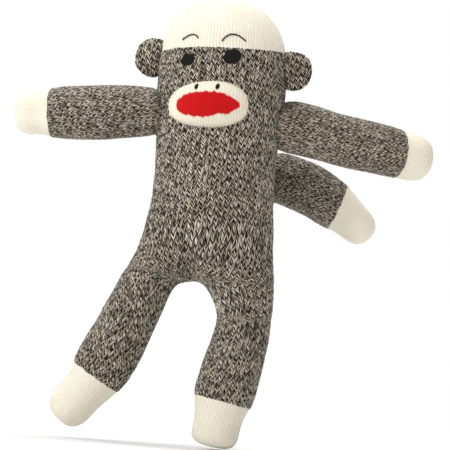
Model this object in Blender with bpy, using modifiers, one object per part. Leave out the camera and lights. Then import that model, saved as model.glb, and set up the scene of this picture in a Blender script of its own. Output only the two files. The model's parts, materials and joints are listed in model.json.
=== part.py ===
"""A stuffed sock monkey, as an assembly of knitted skins, stuffing, sewn seams and stitched features.

Metres, +Z up. The face looks along -Y and the toy's own left hand is towards +X. The toy is first laid out
about its trunk axis, with the sole of the longer leg at z = 0, and then the whole of it is shifted so that
the origin is under the middle of its bounding box.
"""

import math

import bmesh
import bpy
from mathutils import Matrix, Vector

# ---------------------------------------------------------------- driving dimensions
GAP = 0.0003                # air left between pieces that touch
WALL = 0.0020               # knitted fabric, pulled tight over its stuffing
THIN_WALL = 0.0014          # the finer fabric of the ears and the muzzle
THREAD = 0.0005             # radius of a sewing or embroidery thread
YARN = 0.0007               # radius of the doubled yarn in a hand-sewn seam

CROWN_Z = 0.305             # top of the head above the sole
CAP_EDGE_Z = 0.271          # where the cream crown meets the marled sock
HEAD_HALF_WIDTH = 0.043
HEAD_HALF_DEPTH = 0.035
WAIST_HALF_WIDTH = 0.0412
SEAT_HALF_WIDTH = 0.0465
SEAT_HALF_DEPTH = 0.0365
BACK_PATCH_Z = (0.212, 0.250)   # the straight stretch of the back between the shoulders
TRUNK_SIDES = 20

HIP_Z = 0.106
HIP_RADIUS = 0.0192
SEAT_Z = HIP_Z + HIP_RADIUS + 2 * GAP
LEG_SIDES = 16

SHOULDER_STAND_OFF = 0.008      # from the trunk's skin to the middle of the gathered end of an arm
GATHER_RADIUS = 0.0062
ARM_SIDES = 16

EAR_RADIUS = 0.0134
EAR_HALF_DEPTH = 0.0050
EAR_STAND_OFF = 0.0054
LEFT_EAR_Z = 0.262
RIGHT_EAR_Z = 0.2668
EAR_Y = 0.002

FACE_ROLL = math.radians(4.0)   # the face is sewn on a little askew
MUZZLE_CENTRE = (-0.0018, 0.2315)
MUZZLE_HALF = (0.0275, 0.0160)
MUZZLE_BULGE = 0.0115
MUZZLE_LIFT = 0.0016
MUZZLE_SIDES = 22

MARL = ((0.155, 0.133, 0.110), 0.95)
CREAM = ((0.855, 0.815, 0.700), 0.92)
RED = ((0.600, 0.014, 0.014), 0.85)
BLACK = ((0.010, 0.009, 0.008), 0.80)
GREY_YARN = ((0.120, 0.105, 0.090), 0.90)
FILLING = ((0.900, 0.900, 0.880), 1.00)


# ---------------------------------------------------------------- scene helpers
def empty_scene():
    for thing in list(bpy.data.objects):
        bpy.data.objects.remove(thing)


def new_collection(name):
    collection = bpy.data.collections.new(name)
    bpy.context.scene.collection.children.link(collection)
    return collection


def material_for(name, look):
    colour, roughness = look
    material = bpy.data.materials.new(name)
    material.use_nodes = True
    shader = material.node_tree.nodes["Principled BSDF"]
    shader.inputs["Base Color"].default_value = (*colour, 1.0)
    shader.inputs["Roughness"].default_value = roughness
    shader.inputs["Metallic"].default_value = 0.0
    return material


def frame_at(name, place, parent):
    """An empty that carries a body: it stands on the body's joint axes."""
    carrier = bpy.data.objects.new(name, None)
    carrier.empty_display_size = 0.01
    parts.objects.link(carrier)
    carrier.parent = parent
    carrier.location = Vector(place) - Vector(home_of(parent))
    homes[name] = Vector(place)
    return carrier


def home_of(carrier):
    return homes[carrier.name]


def add_piece(name, mesh, look, carrier):
    """Makes one piece from a mesh laid out in the toy's frame, hung on its body's empty."""
    mesh.transform(Matrix.Translation(-home_of(carrier)))
    mesh.materials.append(material_for(name, look))
    mesh.shade_smooth()
    piece = bpy.data.objects.new(name, mesh)
    parts.objects.link(piece)
    piece.parent = carrier
    return piece


def thicken(piece, wall):
    shell = piece.modifiers.new("wall", "SOLIDIFY")
    shell.thickness = wall
    shell.offset = -1.0
    return piece


# ---------------------------------------------------------------- shape helpers
def ring_points(centre, across, up, half_a, half_b, sides):
    points = []
    for k in range(sides):
        turn = 2 * math.pi * (k + 0.5) / sides
        points.append(centre + across * (half_a * math.cos(turn)) + up * (half_b * math.sin(turn)))
    return points


def loft(name, rings, start_pole=None, end_pole=None):
    """A skin through rings of points, closed by a pole at either end where one is given."""
    bm = bmesh.new()
    rows = [[bm.verts.new(p) for p in ring] for ring in rings]
    sides = len(rings[0])
    for low, high in zip(rows, rows[1:]):
        for k in range(sides):
            after = (k + 1) % sides
            bm.faces.new((low[k], low[after], high[after], high[k]))
    if start_pole is not None:
        pole = bm.verts.new(start_pole)
        for k in range(sides):
            bm.faces.new((pole, rows[0][(k + 1) % sides], rows[0][k]))
    if end_pole is not None:
        pole = bm.verts.new(end_pole)
        for k in range(sides):
            bm.faces.new((pole, rows[-1][k], rows[-1][(k + 1) % sides]))
    mesh = bpy.data.meshes.new(name)
    bm.to_mesh(mesh)
    bm.free()
    return mesh


def turned_mesh(name, profile, sides, place, direction):
    """Turns a profile of (distance along, radius) about an axis through place along direction."""
    mesh = bpy.data.meshes.new(name)
    outline = [Vector((radius, 0.0, -along)) for along, radius in profile]
    mesh.from_pydata(outline, [(k, k + 1) for k in range(len(outline) - 1)], [])
    lathe = bpy.data.objects.new(name, mesh)
    guides.objects.link(lathe)
    screw = lathe.modifiers.new("turn", "SCREW")
    screw.axis = "Z"
    screw.steps = sides
    screw.render_steps = sides
    screw.use_merge_vertices = True
    screw.merge_threshold = 0.00001
    graph = bpy.context.evaluated_depsgraph_get()
    solid = bpy.data.meshes.new_from_object(lathe.evaluated_get(graph))
    bpy.data.objects.remove(lathe)
    turn = (-Vector(direction)).normalized().to_track_quat("Z", "Y").to_matrix().to_4x4()
    solid.transform(Matrix.Translation(place) @ turn)
    return solid


def ball_mesh(name, centre, halves, facing=None, segments=10, ring_count=6):
    """A UV sphere scaled to three half sizes, its own Y axis laid along facing."""
    bm = bmesh.new()
    bmesh.ops.create_uvsphere(bm, u_segments=segments, v_segments=ring_count, radius=1.0)
    bmesh.ops.scale(bm, vec=Vector(halves), verts=bm.verts)
    if facing is not None:
        turn = Vector((0, -1, 0)).rotation_difference(facing).to_matrix()
        bmesh.ops.rotate(bm, cent=(0, 0, 0), matrix=turn, verts=bm.verts)
    bmesh.ops.translate(bm, vec=Vector(centre), verts=bm.verts)
    mesh = bpy.data.meshes.new(name)
    bm.to_mesh(mesh)
    bm.free()
    return mesh


def thread_mesh(name, points, radius, closed=False):
    """A thread laid along points: a curve with a round bevel, turned into a welded mesh."""
    curve = bpy.data.curves.new(name, "CURVE")
    curve.dimensions = "3D"
    curve.bevel_depth = radius
    curve.bevel_resolution = 1
    curve.use_fill_caps = not closed
    spline = curve.splines.new("POLY")
    spline.points.add(len(points) - 1)
    for place, point in zip(spline.points, points):
        place.co = (*point, 1.0)
    spline.use_cyclic_u = closed
    line = bpy.data.objects.new(name, curve)
    guides.objects.link(line)
    graph = bpy.context.evaluated_depsgraph_get()
    mesh = bpy.data.meshes.new_from_object(line.evaluated_get(graph))
    bpy.data.objects.remove(line)
    bm = bmesh.new()
    bm.from_mesh(mesh)
    bmesh.ops.remove_doubles(bm, verts=bm.verts, dist=0.00001)
    bmesh.ops.recalc_face_normals(bm, faces=bm.faces)
    bm.to_mesh(mesh)
    bm.free()
    return mesh


class Path:
    """A smooth centreline through a few points, with a frame that doesn't twist."""

    STEPS = 16

    def __init__(self, points):
        knots = [Vector(p) for p in points]
        ends = [2 * knots[0] - knots[1], *knots, 2 * knots[-1] - knots[-2]]
        self.places = []
        for a, b, c, d in zip(ends, ends[1:], ends[2:], ends[3:]):
            for k in range(self.STEPS):
                self.places.append(self.spline(a, b, c, d, k / self.STEPS))
        self.places.append(knots[-1])
        self.lengths = [0.0]
        for a, b in zip(self.places, self.places[1:]):
            self.lengths.append(self.lengths[-1] + (b - a).length)
        self.total = self.lengths[-1]

    @staticmethod
    def spline(a, b, c, d, t):
        slope = (c - a) * t
        bend = (2 * a - 5 * b + 4 * c - d) * t**2
        twist = (3 * b - a - 3 * c + d) * t**3
        return b + 0.5 * (slope + bend + twist)

    def point(self, along):
        if along <= 0:
            heading = (self.places[1] - self.places[0]).normalized()
            return self.places[0] + heading * along
        for k in range(len(self.lengths) - 1):
            if along <= self.lengths[k + 1]:
                share = (along - self.lengths[k]) / (self.lengths[k + 1] - self.lengths[k])
                return self.places[k].lerp(self.places[k + 1], share)
        heading = (self.places[-1] - self.places[-2]).normalized()
        return self.places[-1] + heading * (along - self.total)

    def heading(self, along, reach=0.002):
        return (self.point(along + reach) - self.point(along - reach)).normalized()

    def rings(self, profile, sides):
        """Rings of points square to the path at each (distance along, radius) of a profile."""
        made = []
        across = None
        for along, radius in profile:
            heading = self.heading(along)
            if across is None:
                across = heading.orthogonal()
            across = (across - heading * across.dot(heading)).normalized()
            made.append(ring_points(self.point(along), across, heading.cross(across), radius, radius, sides))
        return made

    def side_point(self, along, out, towards):
        """A point at a distance out from the centreline, on the side that faces towards."""
        heading = self.heading(along)
        side = Vector(towards)
        side = (side - heading * side.dot(heading)).normalized()
        return self.point(along) + side * out


def inset(profile, amount):
    """The same profile, moved inwards square to itself."""
    moved = []
    for k, (along, radius) in enumerate(profile):
        before = profile[max(k - 1, 0)]
        after = profile[min(k + 1, len(profile) - 1)]
        run, rise = after[0] - before[0], after[1] - before[1]
        size = math.hypot(run, rise)
        moved.append((along + rise / size * amount, max(radius - run / size * amount, 0.0008)))
    return moved


# ---------------------------------------------------------------- trunk and crown
# Each section is (height, shift in X, half width, half depth), from the seat up.
TRUNK_SECTIONS = [
    (SEAT_Z, -0.0040, 0.0320, 0.0250),
    (SEAT_Z + 0.0035, -0.0040, 0.0415, 0.0325),
    (SEAT_Z + 0.0115, -0.0030, SEAT_HALF_WIDTH, SEAT_HALF_DEPTH),
    (0.150, -0.0010, 0.0445, 0.0365),
    (0.168, 0.0, 0.0418, 0.0355),
    (0.186, 0.0, WAIST_HALF_WIDTH, HEAD_HALF_DEPTH),
    (BACK_PATCH_Z[0], 0.0, HEAD_HALF_WIDTH, HEAD_HALF_DEPTH),
    (BACK_PATCH_Z[1], 0.0, HEAD_HALF_WIDTH, HEAD_HALF_DEPTH),
    (CAP_EDGE_Z, 0.0, HEAD_HALF_WIDTH, HEAD_HALF_DEPTH),
]
CROWN_RISE = CROWN_Z - CAP_EDGE_Z
CROWN_STEPS = 6
CROWN_FULLNESS = 0.86       # below 1 the dome is fuller than an ellipse


def crown_section(share):
    """A section of the dome at a share of the way from the cap's edge to the top."""
    turn = 0.5 * math.pi * share
    spread = math.cos(turn) ** CROWN_FULLNESS
    height = CAP_EDGE_Z + CROWN_RISE * math.sin(turn)
    return (height, 0.0, HEAD_HALF_WIDTH * spread, HEAD_HALF_DEPTH * spread)


CROWN_SECTIONS = [crown_section(k / CROWN_STEPS) for k in range(CROWN_STEPS)]
BODY_SECTIONS = TRUNK_SECTIONS + CROWN_SECTIONS[1:] + [(CROWN_Z, 0.0, 0.0, 0.0)]


def section_ring(section, sides):
    height, shift, half_a, half_b = section
    return ring_points(Vector((shift, 0, height)), Vector((1, 0, 0)), Vector((0, 1, 0)), half_a, half_b, sides)


def section_at(height):
    for low, high in zip(BODY_SECTIONS, BODY_SECTIONS[1:]):
        if height <= high[0] and high[0] > low[0]:
            share = (height - low[0]) / (high[0] - low[0])
            return [a + (b - a) * share for a, b in zip(low, high)]
    return list(BODY_SECTIONS[-1])


def skin_y(x, z):
    """Where the front of the body lies at (x, z)."""
    _, shift, half_a, half_b = section_at(z)
    across = min(abs(x - shift) / half_a, 0.999)
    return -half_b * math.sqrt(1 - across**2)


def on_front(x, z, lift):
    """A point lifted square off the front of the body, and the direction it was lifted in."""
    step = 0.001
    here = Vector((x, skin_y(x, z), z))
    right = Vector((x + step, skin_y(x + step, z), z)) - here
    above = Vector((x, skin_y(x, z + step), z + step)) - here
    out = right.cross(above).normalized()
    return here + out * lift, out


def inset_section(sections, k, amount):
    """One section moved inwards square to the body's outline."""
    before, after = sections[max(k - 1, 0)], sections[min(k + 1, len(sections) - 1)]
    rise, spread = after[0] - before[0], after[2] - before[2]
    size = math.hypot(rise, spread)
    height, shift, half_a, half_b = sections[k]
    inwards = rise / size * amount
    return (height + spread / size * amount, shift, half_a - inwards, half_b - inwards)


def build_trunk(body):
    rings = [section_ring(s, TRUNK_SIDES) for s in TRUNK_SECTIONS[:-1]]
    rings.append(section_ring((CAP_EDGE_Z - GAP, *TRUNK_SECTIONS[-1][1:]), TRUNK_SIDES))
    skin = loft("trunk_sock", rings, start_pole=(TRUNK_SECTIONS[0][1], 0, SEAT_Z))
    thicken(add_piece("trunk_sock", skin, MARL, body), WALL)

    rings = [section_ring(s, TRUNK_SIDES) for s in CROWN_SECTIONS]
    dome = loft("crown_cap", rings, end_pole=(0, 0, CROWN_Z))
    thicken(add_piece("crown_cap", dome, CREAM, body), WALL)

    depth = WALL + 2 * GAP
    sections = TRUNK_SECTIONS + CROWN_SECTIONS[1:]
    core = [inset_section(sections, k, depth) for k in range(len(sections))]
    core[0] = (SEAT_Z + depth, *core[0][1:])
    rings = [section_ring(s, TRUNK_SIDES) for s in core]
    poles = (Vector((core[0][1], 0, core[0][0])), Vector((0, 0, CROWN_Z - depth)))
    add_piece("trunk_stuffing", loft("trunk_stuffing", rings, *poles), FILLING, body)

    seam_x = -0.0095
    seam_half = 0.021
    count = 9
    points = []
    for k in range(count):
        y = seam_half * (2 * k / (count - 1) - 1)
        points.append((seam_x, y, SEAT_Z - THREAD - GAP))
    add_piece("crotch_seam", thread_mesh("crotch_seam", points, THREAD), GREY_YARN, body)


# ---------------------------------------------------------------- face
def muzzle_place(u, v):
    """Turns a place on the face's own level axes into the toy's X and Z."""
    x = MUZZLE_CENTRE[0] + u * math.cos(FACE_ROLL) - v * math.sin(FACE_ROLL)
    z = MUZZLE_CENTRE[1] + u * math.sin(FACE_ROLL) + v * math.cos(FACE_ROLL)
    return x, z


def muzzle_rise(u, v, shrink):
    """How far the muzzle stands off the face at (u, v), for a dome shrunk by an inset."""
    reach = math.hypot(u / (MUZZLE_HALF[0] - shrink), v / (MUZZLE_HALF[1] - shrink))
    return (MUZZLE_BULGE - shrink) * math.sqrt(max(1 - min(reach, 1.0) ** 2.4, 0.0))


def muzzle_point(u, v, lift, shrink=0.0):
    x, z = muzzle_place(u, v)
    return Vector((x, skin_y(x, z) - MUZZLE_LIFT - lift - muzzle_rise(u, v, shrink), z))


def oval(half_u, half_v, share, turn):
    return half_u * share * math.cos(turn), half_v * share * math.sin(turn)


def muzzle_ring(half_u, half_v, share, sides, lift, shrink=0.0):
    points = []
    for k in range(sides):
        u, v = oval(half_u, half_v, share, 2 * math.pi * k / sides)
        points.append(muzzle_point(u, v, lift, shrink))
    return points


def build_muzzle(body):
    shares = (1.0, 0.98, 0.90, 0.75, 0.52, 0.26)
    rings = [muzzle_ring(*MUZZLE_HALF, s, MUZZLE_SIDES, 0.0) for s in shares]
    cover = loft("muzzle_cover", rings, end_pole=muzzle_point(0, 0, 0.0))
    thicken(add_piece("muzzle_cover", cover, CREAM, body), THIN_WALL)

    shrink = THIN_WALL + 3 * GAP
    halves = (MUZZLE_HALF[0] - shrink, MUZZLE_HALF[1] - shrink)
    inner_shares = (0.95, 0.85, 0.65, 0.35)
    base_lift = 2 * GAP - MUZZLE_LIFT
    base = []
    for share in reversed(inner_shares):
        ring = []
        for k in range(MUZZLE_SIDES):
            x, z = muzzle_place(*oval(*halves, share, 2 * math.pi * k / MUZZLE_SIDES))
            ring.append(Vector((x, skin_y(x, z) - MUZZLE_LIFT - base_lift, z)))
        base.append(ring)
    top = [muzzle_ring(*halves, s, MUZZLE_SIDES, 0.0, shrink) for s in inner_shares]
    x, z = muzzle_place(0, 0)
    low = Vector((x, skin_y(x, z) - MUZZLE_LIFT - base_lift, z))
    core = loft("muzzle_stuffing", base + top, low, muzzle_point(0, 0, 0.0, shrink))
    add_piece("muzzle_stuffing", core, FILLING, body)

    out = YARN + GAP
    points = []
    count = 36
    for k in range(count):
        turn = 2 * math.pi * k / count
        x, z = muzzle_place(*oval(MUZZLE_HALF[0] + out, MUZZLE_HALF[1] + out, 1.0, turn))
        points.append(on_front(x, z, YARN + GAP)[0])
    add_piece("muzzle_seam", thread_mesh("muzzle_seam", points, YARN, closed=True), CREAM, body)


def build_lips(body):
    """A red patch over the middle of the muzzle, rounder at one corner of the mouth."""
    half_u, half_v = 0.0218, 0.0088
    centre_u, centre_v = 0.0026, -0.0015
    thickness = 0.0011
    sides = 24

    def ring(share, lift):
        points = []
        for k in range(sides):
            turn = 2 * math.pi * k / sides
            pinch = 1.0 - 0.22 * max(math.cos(turn), 0.0) ** 3
            u = centre_u + half_u * share * math.cos(turn)
            v = centre_v + half_v * share * math.sin(turn) * pinch
            points.append(muzzle_point(u, v, lift))
        return points

    low_lift, high_lift = 2 * GAP, 2 * GAP + thickness
    shares = (0.4, 0.75, 1.0)
    rings = [ring(s, low_lift) for s in shares]
    rings += [ring(s, high_lift) for s in reversed(shares)]
    poles = (muzzle_point(centre_u, centre_v, low_lift), muzzle_point(centre_u, centre_v, high_lift))
    add_piece("lips", loft("lips", rings, *poles), RED, body)


def build_stitched_features(body):
    # side, place along the mouth's axes
    for name, u, v in (("right_nostril", -0.0054, 0.0105), ("left_nostril", 0.0093, 0.0102)):
        here = muzzle_point(u, v, 0.0)
        right = muzzle_point(u + 0.001, v, 0.0) - here
        above = muzzle_point(u, v + 0.001, 0.0) - here
        out = right.cross(above).normalized()
        halves = (0.0010, 0.0006, 0.0019)
        mesh = ball_mesh(name, here + out * (halves[1] + 2 * GAP), halves, facing=out)
        add_piece(name, mesh, BLACK, body)

    # each eye: centre in X and Z, half width, half height
    for name, x, z, half_x, half_z in (
        ("right_eye", -0.0172, 0.2620, 0.0047, 0.0039),
        ("left_eye", 0.0134, 0.2638, 0.0052, 0.0054),
    ):
        half_y = 0.0011
        centre, out = on_front(x, z, half_y + 2 * GAP)
        add_piece(name, ball_mesh(name, centre, (half_x, half_y, half_z), facing=out), BLACK, body)

    # each brow: its two ends and its peak in X and Z
    for name, start, peak, end in (
        ("right_brow", (-0.0235, 0.2752), (-0.0160, 0.2790), (-0.0112, 0.2762)),
        ("left_brow", (0.0055, 0.2752), (0.0122, 0.2808), (0.0215, 0.2770)),
    ):
        points = []
        count = 9
        for k in range(count):
            t = k / (count - 1)
            rise = 1 - (2 * t - 1) ** 2
            x = (1 - t) * start[0] + t * end[0] + rise * (peak[0] - 0.5 * (start[0] + end[0]))
            z = (1 - t) * start[1] + t * end[1] + rise * (peak[1] - 0.5 * (start[1] + end[1]))
            points.append(on_front(x, z, THREAD + 2 * GAP)[0])
        add_piece(name, thread_mesh(name, points, THREAD), BLACK, body)


# ---------------------------------------------------------------- ears
def build_ear(side, sign, body):
    """A stuffed round ear whose flat base faces the head."""
    centre = home_of(body)
    base_depth = 0.0029

    def half_ball(name, halves, depth):
        bm = bmesh.new()
        bmesh.ops.create_uvsphere(bm, u_segments=14, v_segments=8, radius=1.0)
        bmesh.ops.scale(bm, vec=Vector(halves), verts=bm.verts)
        bmesh.ops.rotate(bm, cent=(0, 0, 0), matrix=Matrix.Rotation(math.pi / 2, 3, "X"), verts=bm.verts)
        everything = bm.verts[:] + bm.edges[:] + bm.faces[:]
        cut = Vector((-sign * depth, 0, 0))
        bmesh.ops.bisect_plane(bm, geom=everything, plane_co=cut, plane_no=(-sign, 0, 0), clear_outer=True)
        bmesh.ops.translate(bm, vec=centre, verts=bm.verts)
        mesh = bpy.data.meshes.new(name)
        return bm, mesh

    name = f"{side}_ear_cover"
    bm, mesh = half_ball(name, (EAR_RADIUS, EAR_RADIUS, EAR_HALF_DEPTH), base_depth)
    bm.to_mesh(mesh)
    bm.free()
    thicken(add_piece(name, mesh, MARL, body), THIN_WALL)

    name = f"{side}_ear_stuffing"
    depth = THIN_WALL + 2 * GAP
    halves = (EAR_RADIUS - depth, EAR_RADIUS - depth, EAR_HALF_DEPTH - depth)
    bm, mesh = half_ball(name, halves, base_depth - 0.0004)
    rim = [e for e in bm.edges if e.is_boundary]
    bmesh.ops.contextual_create(bm, geom=rim)
    bmesh.ops.recalc_face_normals(bm, faces=bm.faces)
    bm.to_mesh(mesh)
    bm.free()
    add_piece(name, mesh, FILLING, body)

    name = f"{side}_ear_seam"
    points = []
    count = 14
    depth = base_depth + THREAD + GAP
    for k in range(count):
        turn = 2 * math.pi * k / count
        offset = Vector((-sign * depth, 0.0022 * math.cos(turn), 0.0105 * math.sin(turn)))
        points.append(centre + offset)
    add_piece(name, thread_mesh(name, points, THREAD, closed=True), GREY_YARN, body)


# ---------------------------------------------------------------- limbs that are sewn on
def gathered_end(side, place, out, root_body):
    """The pinched and whip-stitched end of a sewn-on tube, and the thread round it."""
    name = f"{side}_gather"
    ball = ball_mesh(name, place, (GATHER_RADIUS,) * 3, segments=12, ring_count=8)
    add_piece(name, ball, MARL, root_body)
    name = f"{side}_seam"
    reach = GATHER_RADIUS + GAP + YARN + GAP
    tilt = math.radians(62)
    across = out.orthogonal().normalized()
    up = out.cross(across)
    middle = Vector(place) - out * (reach * math.cos(tilt))
    points = ring_points(middle, across, up, reach * math.sin(tilt), reach * math.sin(tilt), 16)
    add_piece(name, thread_mesh(name, points, YARN, closed=True), GREY_YARN, root_body)


# (distance along, radius) of a sewn-on tube's root: a cone that clears the trunk at 60 degrees of bend.
ROOT_PROFILE = [(0.0026, 0.0078), (0.0030, 0.0098), (0.0060, 0.0122), (0.0110, 0.0150), (0.0160, 0.0170)]


def end_profile(cuff, tip, radius, tip_fullness=0.92):
    """A cream end: a short straight stretch and then a round nose, from cuff to tip."""
    nose = min(radius * 1.05, tip - cuff)
    start = tip - nose
    profile = [(cuff, radius)]
    if start - cuff > 0.003:
        profile.append((0.5 * (cuff + start), radius * 0.995))
        profile.append((start, radius * 0.97))
    steps = 5
    for k in range(1, steps):
        turn = 0.5 * math.pi * k / steps
        along = start + nose * math.sin(turn)
        profile.append((along, radius * 0.97 * math.cos(turn) ** tip_fullness))
    return profile


def build_arm(side, place, direction, cuff, tip, radii, root_body, body):
    """An arm in line with direction, measured from the middle of its gathered end."""
    upper, wrist, hand = radii
    sleeve = ROOT_PROFILE + [
        (0.022, upper),
        (0.55 * cuff, upper * 0.99),
        (0.85 * cuff, 0.5 * (upper + wrist)),
        (cuff - GAP, wrist),
    ]
    name = f"{side}_arm_sleeve"
    skin = turned_mesh(name, sleeve, ARM_SIDES, place, direction)
    thicken(add_piece(name, skin, MARL, body), WALL)

    name = f"{side}_hand"
    end = end_profile(cuff, tip, hand)
    skin = turned_mesh(name, end + [(tip, 0.0)], ARM_SIDES, place, direction)
    thicken(add_piece(name, skin, CREAM, body), WALL)

    depth = WALL + 2 * GAP
    name = f"{side}_arm_stuffing"
    start = GATHER_RADIUS + YARN + 4 * GAP
    core = [(start, 0.0), (start, 0.0100), (0.0160, 0.0142), (0.024, upper - depth)]
    core += [(0.80 * cuff, 0.5 * (upper + wrist) - depth), (cuff - 0.004, hand - depth - GAP)]
    core += inset(end[1:], depth)
    core.append((tip - depth, 0.0))
    solid = turned_mesh(name, core, ARM_SIDES, place, direction)
    add_piece(name, solid, FILLING, body)
    gathered_end(f"{side}_shoulder", place, outward_at(place), root_body)


def outward_at(place):
    """The level direction square to the trunk's skin nearest to a place."""
    x, y = place[0], place[1]
    return Vector((x / HEAD_HALF_WIDTH**2, y / HEAD_HALF_DEPTH**2, 0)).normalized()


def shoulder_place(turn_degrees, sign, height):
    """The middle of an arm's gathered end, for a seam at a turn round the trunk from its side."""
    turn = math.radians(turn_degrees)
    skin = Vector((sign * HEAD_HALF_WIDTH * math.cos(turn), HEAD_HALF_DEPTH * math.sin(turn), height))
    return skin + outward_at(skin) * SHOULDER_STAND_OFF


def aim(sign, back_degrees, down_degrees):
    """A direction out to one side, turned back from the frontal plane and dropped below level."""
    back, down = math.radians(back_degrees), math.radians(down_degrees)
    return Vector((sign * math.cos(back) * math.cos(down), math.sin(back) * math.cos(down), -math.sin(down)))


# ---------------------------------------------------------------- legs
def build_leg(side, path, cuff, tip, stations, foot_radius, inner, body):
    """A leg that carries on from the trunk: a round top at the hip, a sleeve and a cream foot."""
    dome = []
    steps = 4
    for k in range(1, steps):
        turn = 0.5 * math.pi * k / steps
        dome.append((-HIP_RADIUS * math.cos(turn), HIP_RADIUS * math.sin(turn)))
    sleeve = dome + [(0.0, HIP_RADIUS)] + stations
    name = f"{side}_leg_sleeve"
    pole = path.point(-HIP_RADIUS)
    skin = loft(name, path.rings(sleeve, LEG_SIDES), start_pole=pole)
    thicken(add_piece(name, skin, MARL, body), WALL)

    name = f"{side}_foot"
    end = end_profile(cuff + GAP, tip, foot_radius, tip_fullness=0.62)
    skin = loft(name, path.rings(end, LEG_SIDES), end_pole=path.point(tip))
    thicken(add_piece(name, skin, CREAM, body), WALL)

    depth = WALL + 2 * GAP
    core = inset(sleeve[:-2], depth)
    core.append((cuff - 0.008, foot_radius - depth - GAP))
    core += inset(end, depth)[1:]
    name = f"{side}_leg_stuffing"
    poles = (path.point(-HIP_RADIUS + depth), path.point(tip - depth))
    add_piece(name, loft(name, path.rings(core, LEG_SIDES), *poles), FILLING, body)

    name = f"{side}_inseam"
    points = []
    count = 12
    for k in range(count):
        along = 0.004 + (cuff - 0.008) * k / (count - 1)
        out = radius_at(sleeve, along) + THREAD + GAP
        points.append(path.side_point(along, out, inner))
    add_piece(name, thread_mesh(name, points, THREAD), GREY_YARN, body)


def radius_at(profile, along):
    for low, high in zip(profile, profile[1:]):
        if low[0] <= along <= high[0]:
            share = (along - low[0]) / (high[0] - low[0])
            return low[1] + (high[1] - low[1]) * share
    return profile[-1][1]


# ---------------------------------------------------------------- tail
def build_tail(path, cuff, tip, root_body, body):
    sleeve = ROOT_PROFILE[:2] + [
        (0.0060, 0.0122),
        (0.0120, 0.0155),
        (0.0170, 0.0169),
        (0.022, 0.0172),
        (0.031, 0.0174),
        (0.040, 0.0175),
        (0.62 * cuff, 0.0173),
        (0.82 * cuff, 0.0168),
        (cuff - GAP, 0.0157),
    ]
    skin = loft("tail_sleeve", path.rings(sleeve, ARM_SIDES))
    thicken(add_piece("tail_sleeve", skin, MARL, body), WALL)

    tip_radius = 0.0143
    end = end_profile(cuff, tip, tip_radius, tip_fullness=0.75)
    skin = loft("tail_tip", path.rings(end, ARM_SIDES), end_pole=path.point(tip))
    thicken(add_piece("tail_tip", skin, CREAM, body), WALL)

    depth = WALL + 2 * GAP
    start = GATHER_RADIUS + YARN + 4 * GAP
    core = [(start, radius_at(sleeve, start) - depth - 0.0010)]
    core += [(along, radius - depth) for along, radius in sleeve if start + 0.003 < along < cuff - 0.004]
    core.append((cuff - 0.004, tip_radius - depth - GAP))
    core += inset(end, depth)[1:]
    poles = (path.point(start), path.point(tip - depth))
    solid = loft("tail_stuffing", path.rings(core, ARM_SIDES), *poles)
    add_piece("tail_stuffing", solid, FILLING, body)
    gathered_end("tail", path.point(0.0), Vector((0, 1, 0)), root_body)


# ---------------------------------------------------------------- the assembly
def shift_to_base(toy):
    """Moves the toy so that the origin is under the middle of its bounding box."""
    bpy.context.view_layer.update()
    graph = bpy.context.evaluated_depsgraph_get()
    low, high = Vector((1e9,) * 3), Vector((-1e9,) * 3)
    for piece in parts.objects:
        if piece.type != "MESH":
            continue
        solid = piece.evaluated_get(graph)
        for vertex in solid.data.vertices:
            place = solid.matrix_world @ vertex.co
            low = Vector(map(min, low, place))
            high = Vector(map(max, high, place))
    toy.location = (-0.5 * (low.x + high.x), -0.5 * (low.y + high.y), -low.z)
    bpy.context.view_layer.update()


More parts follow.
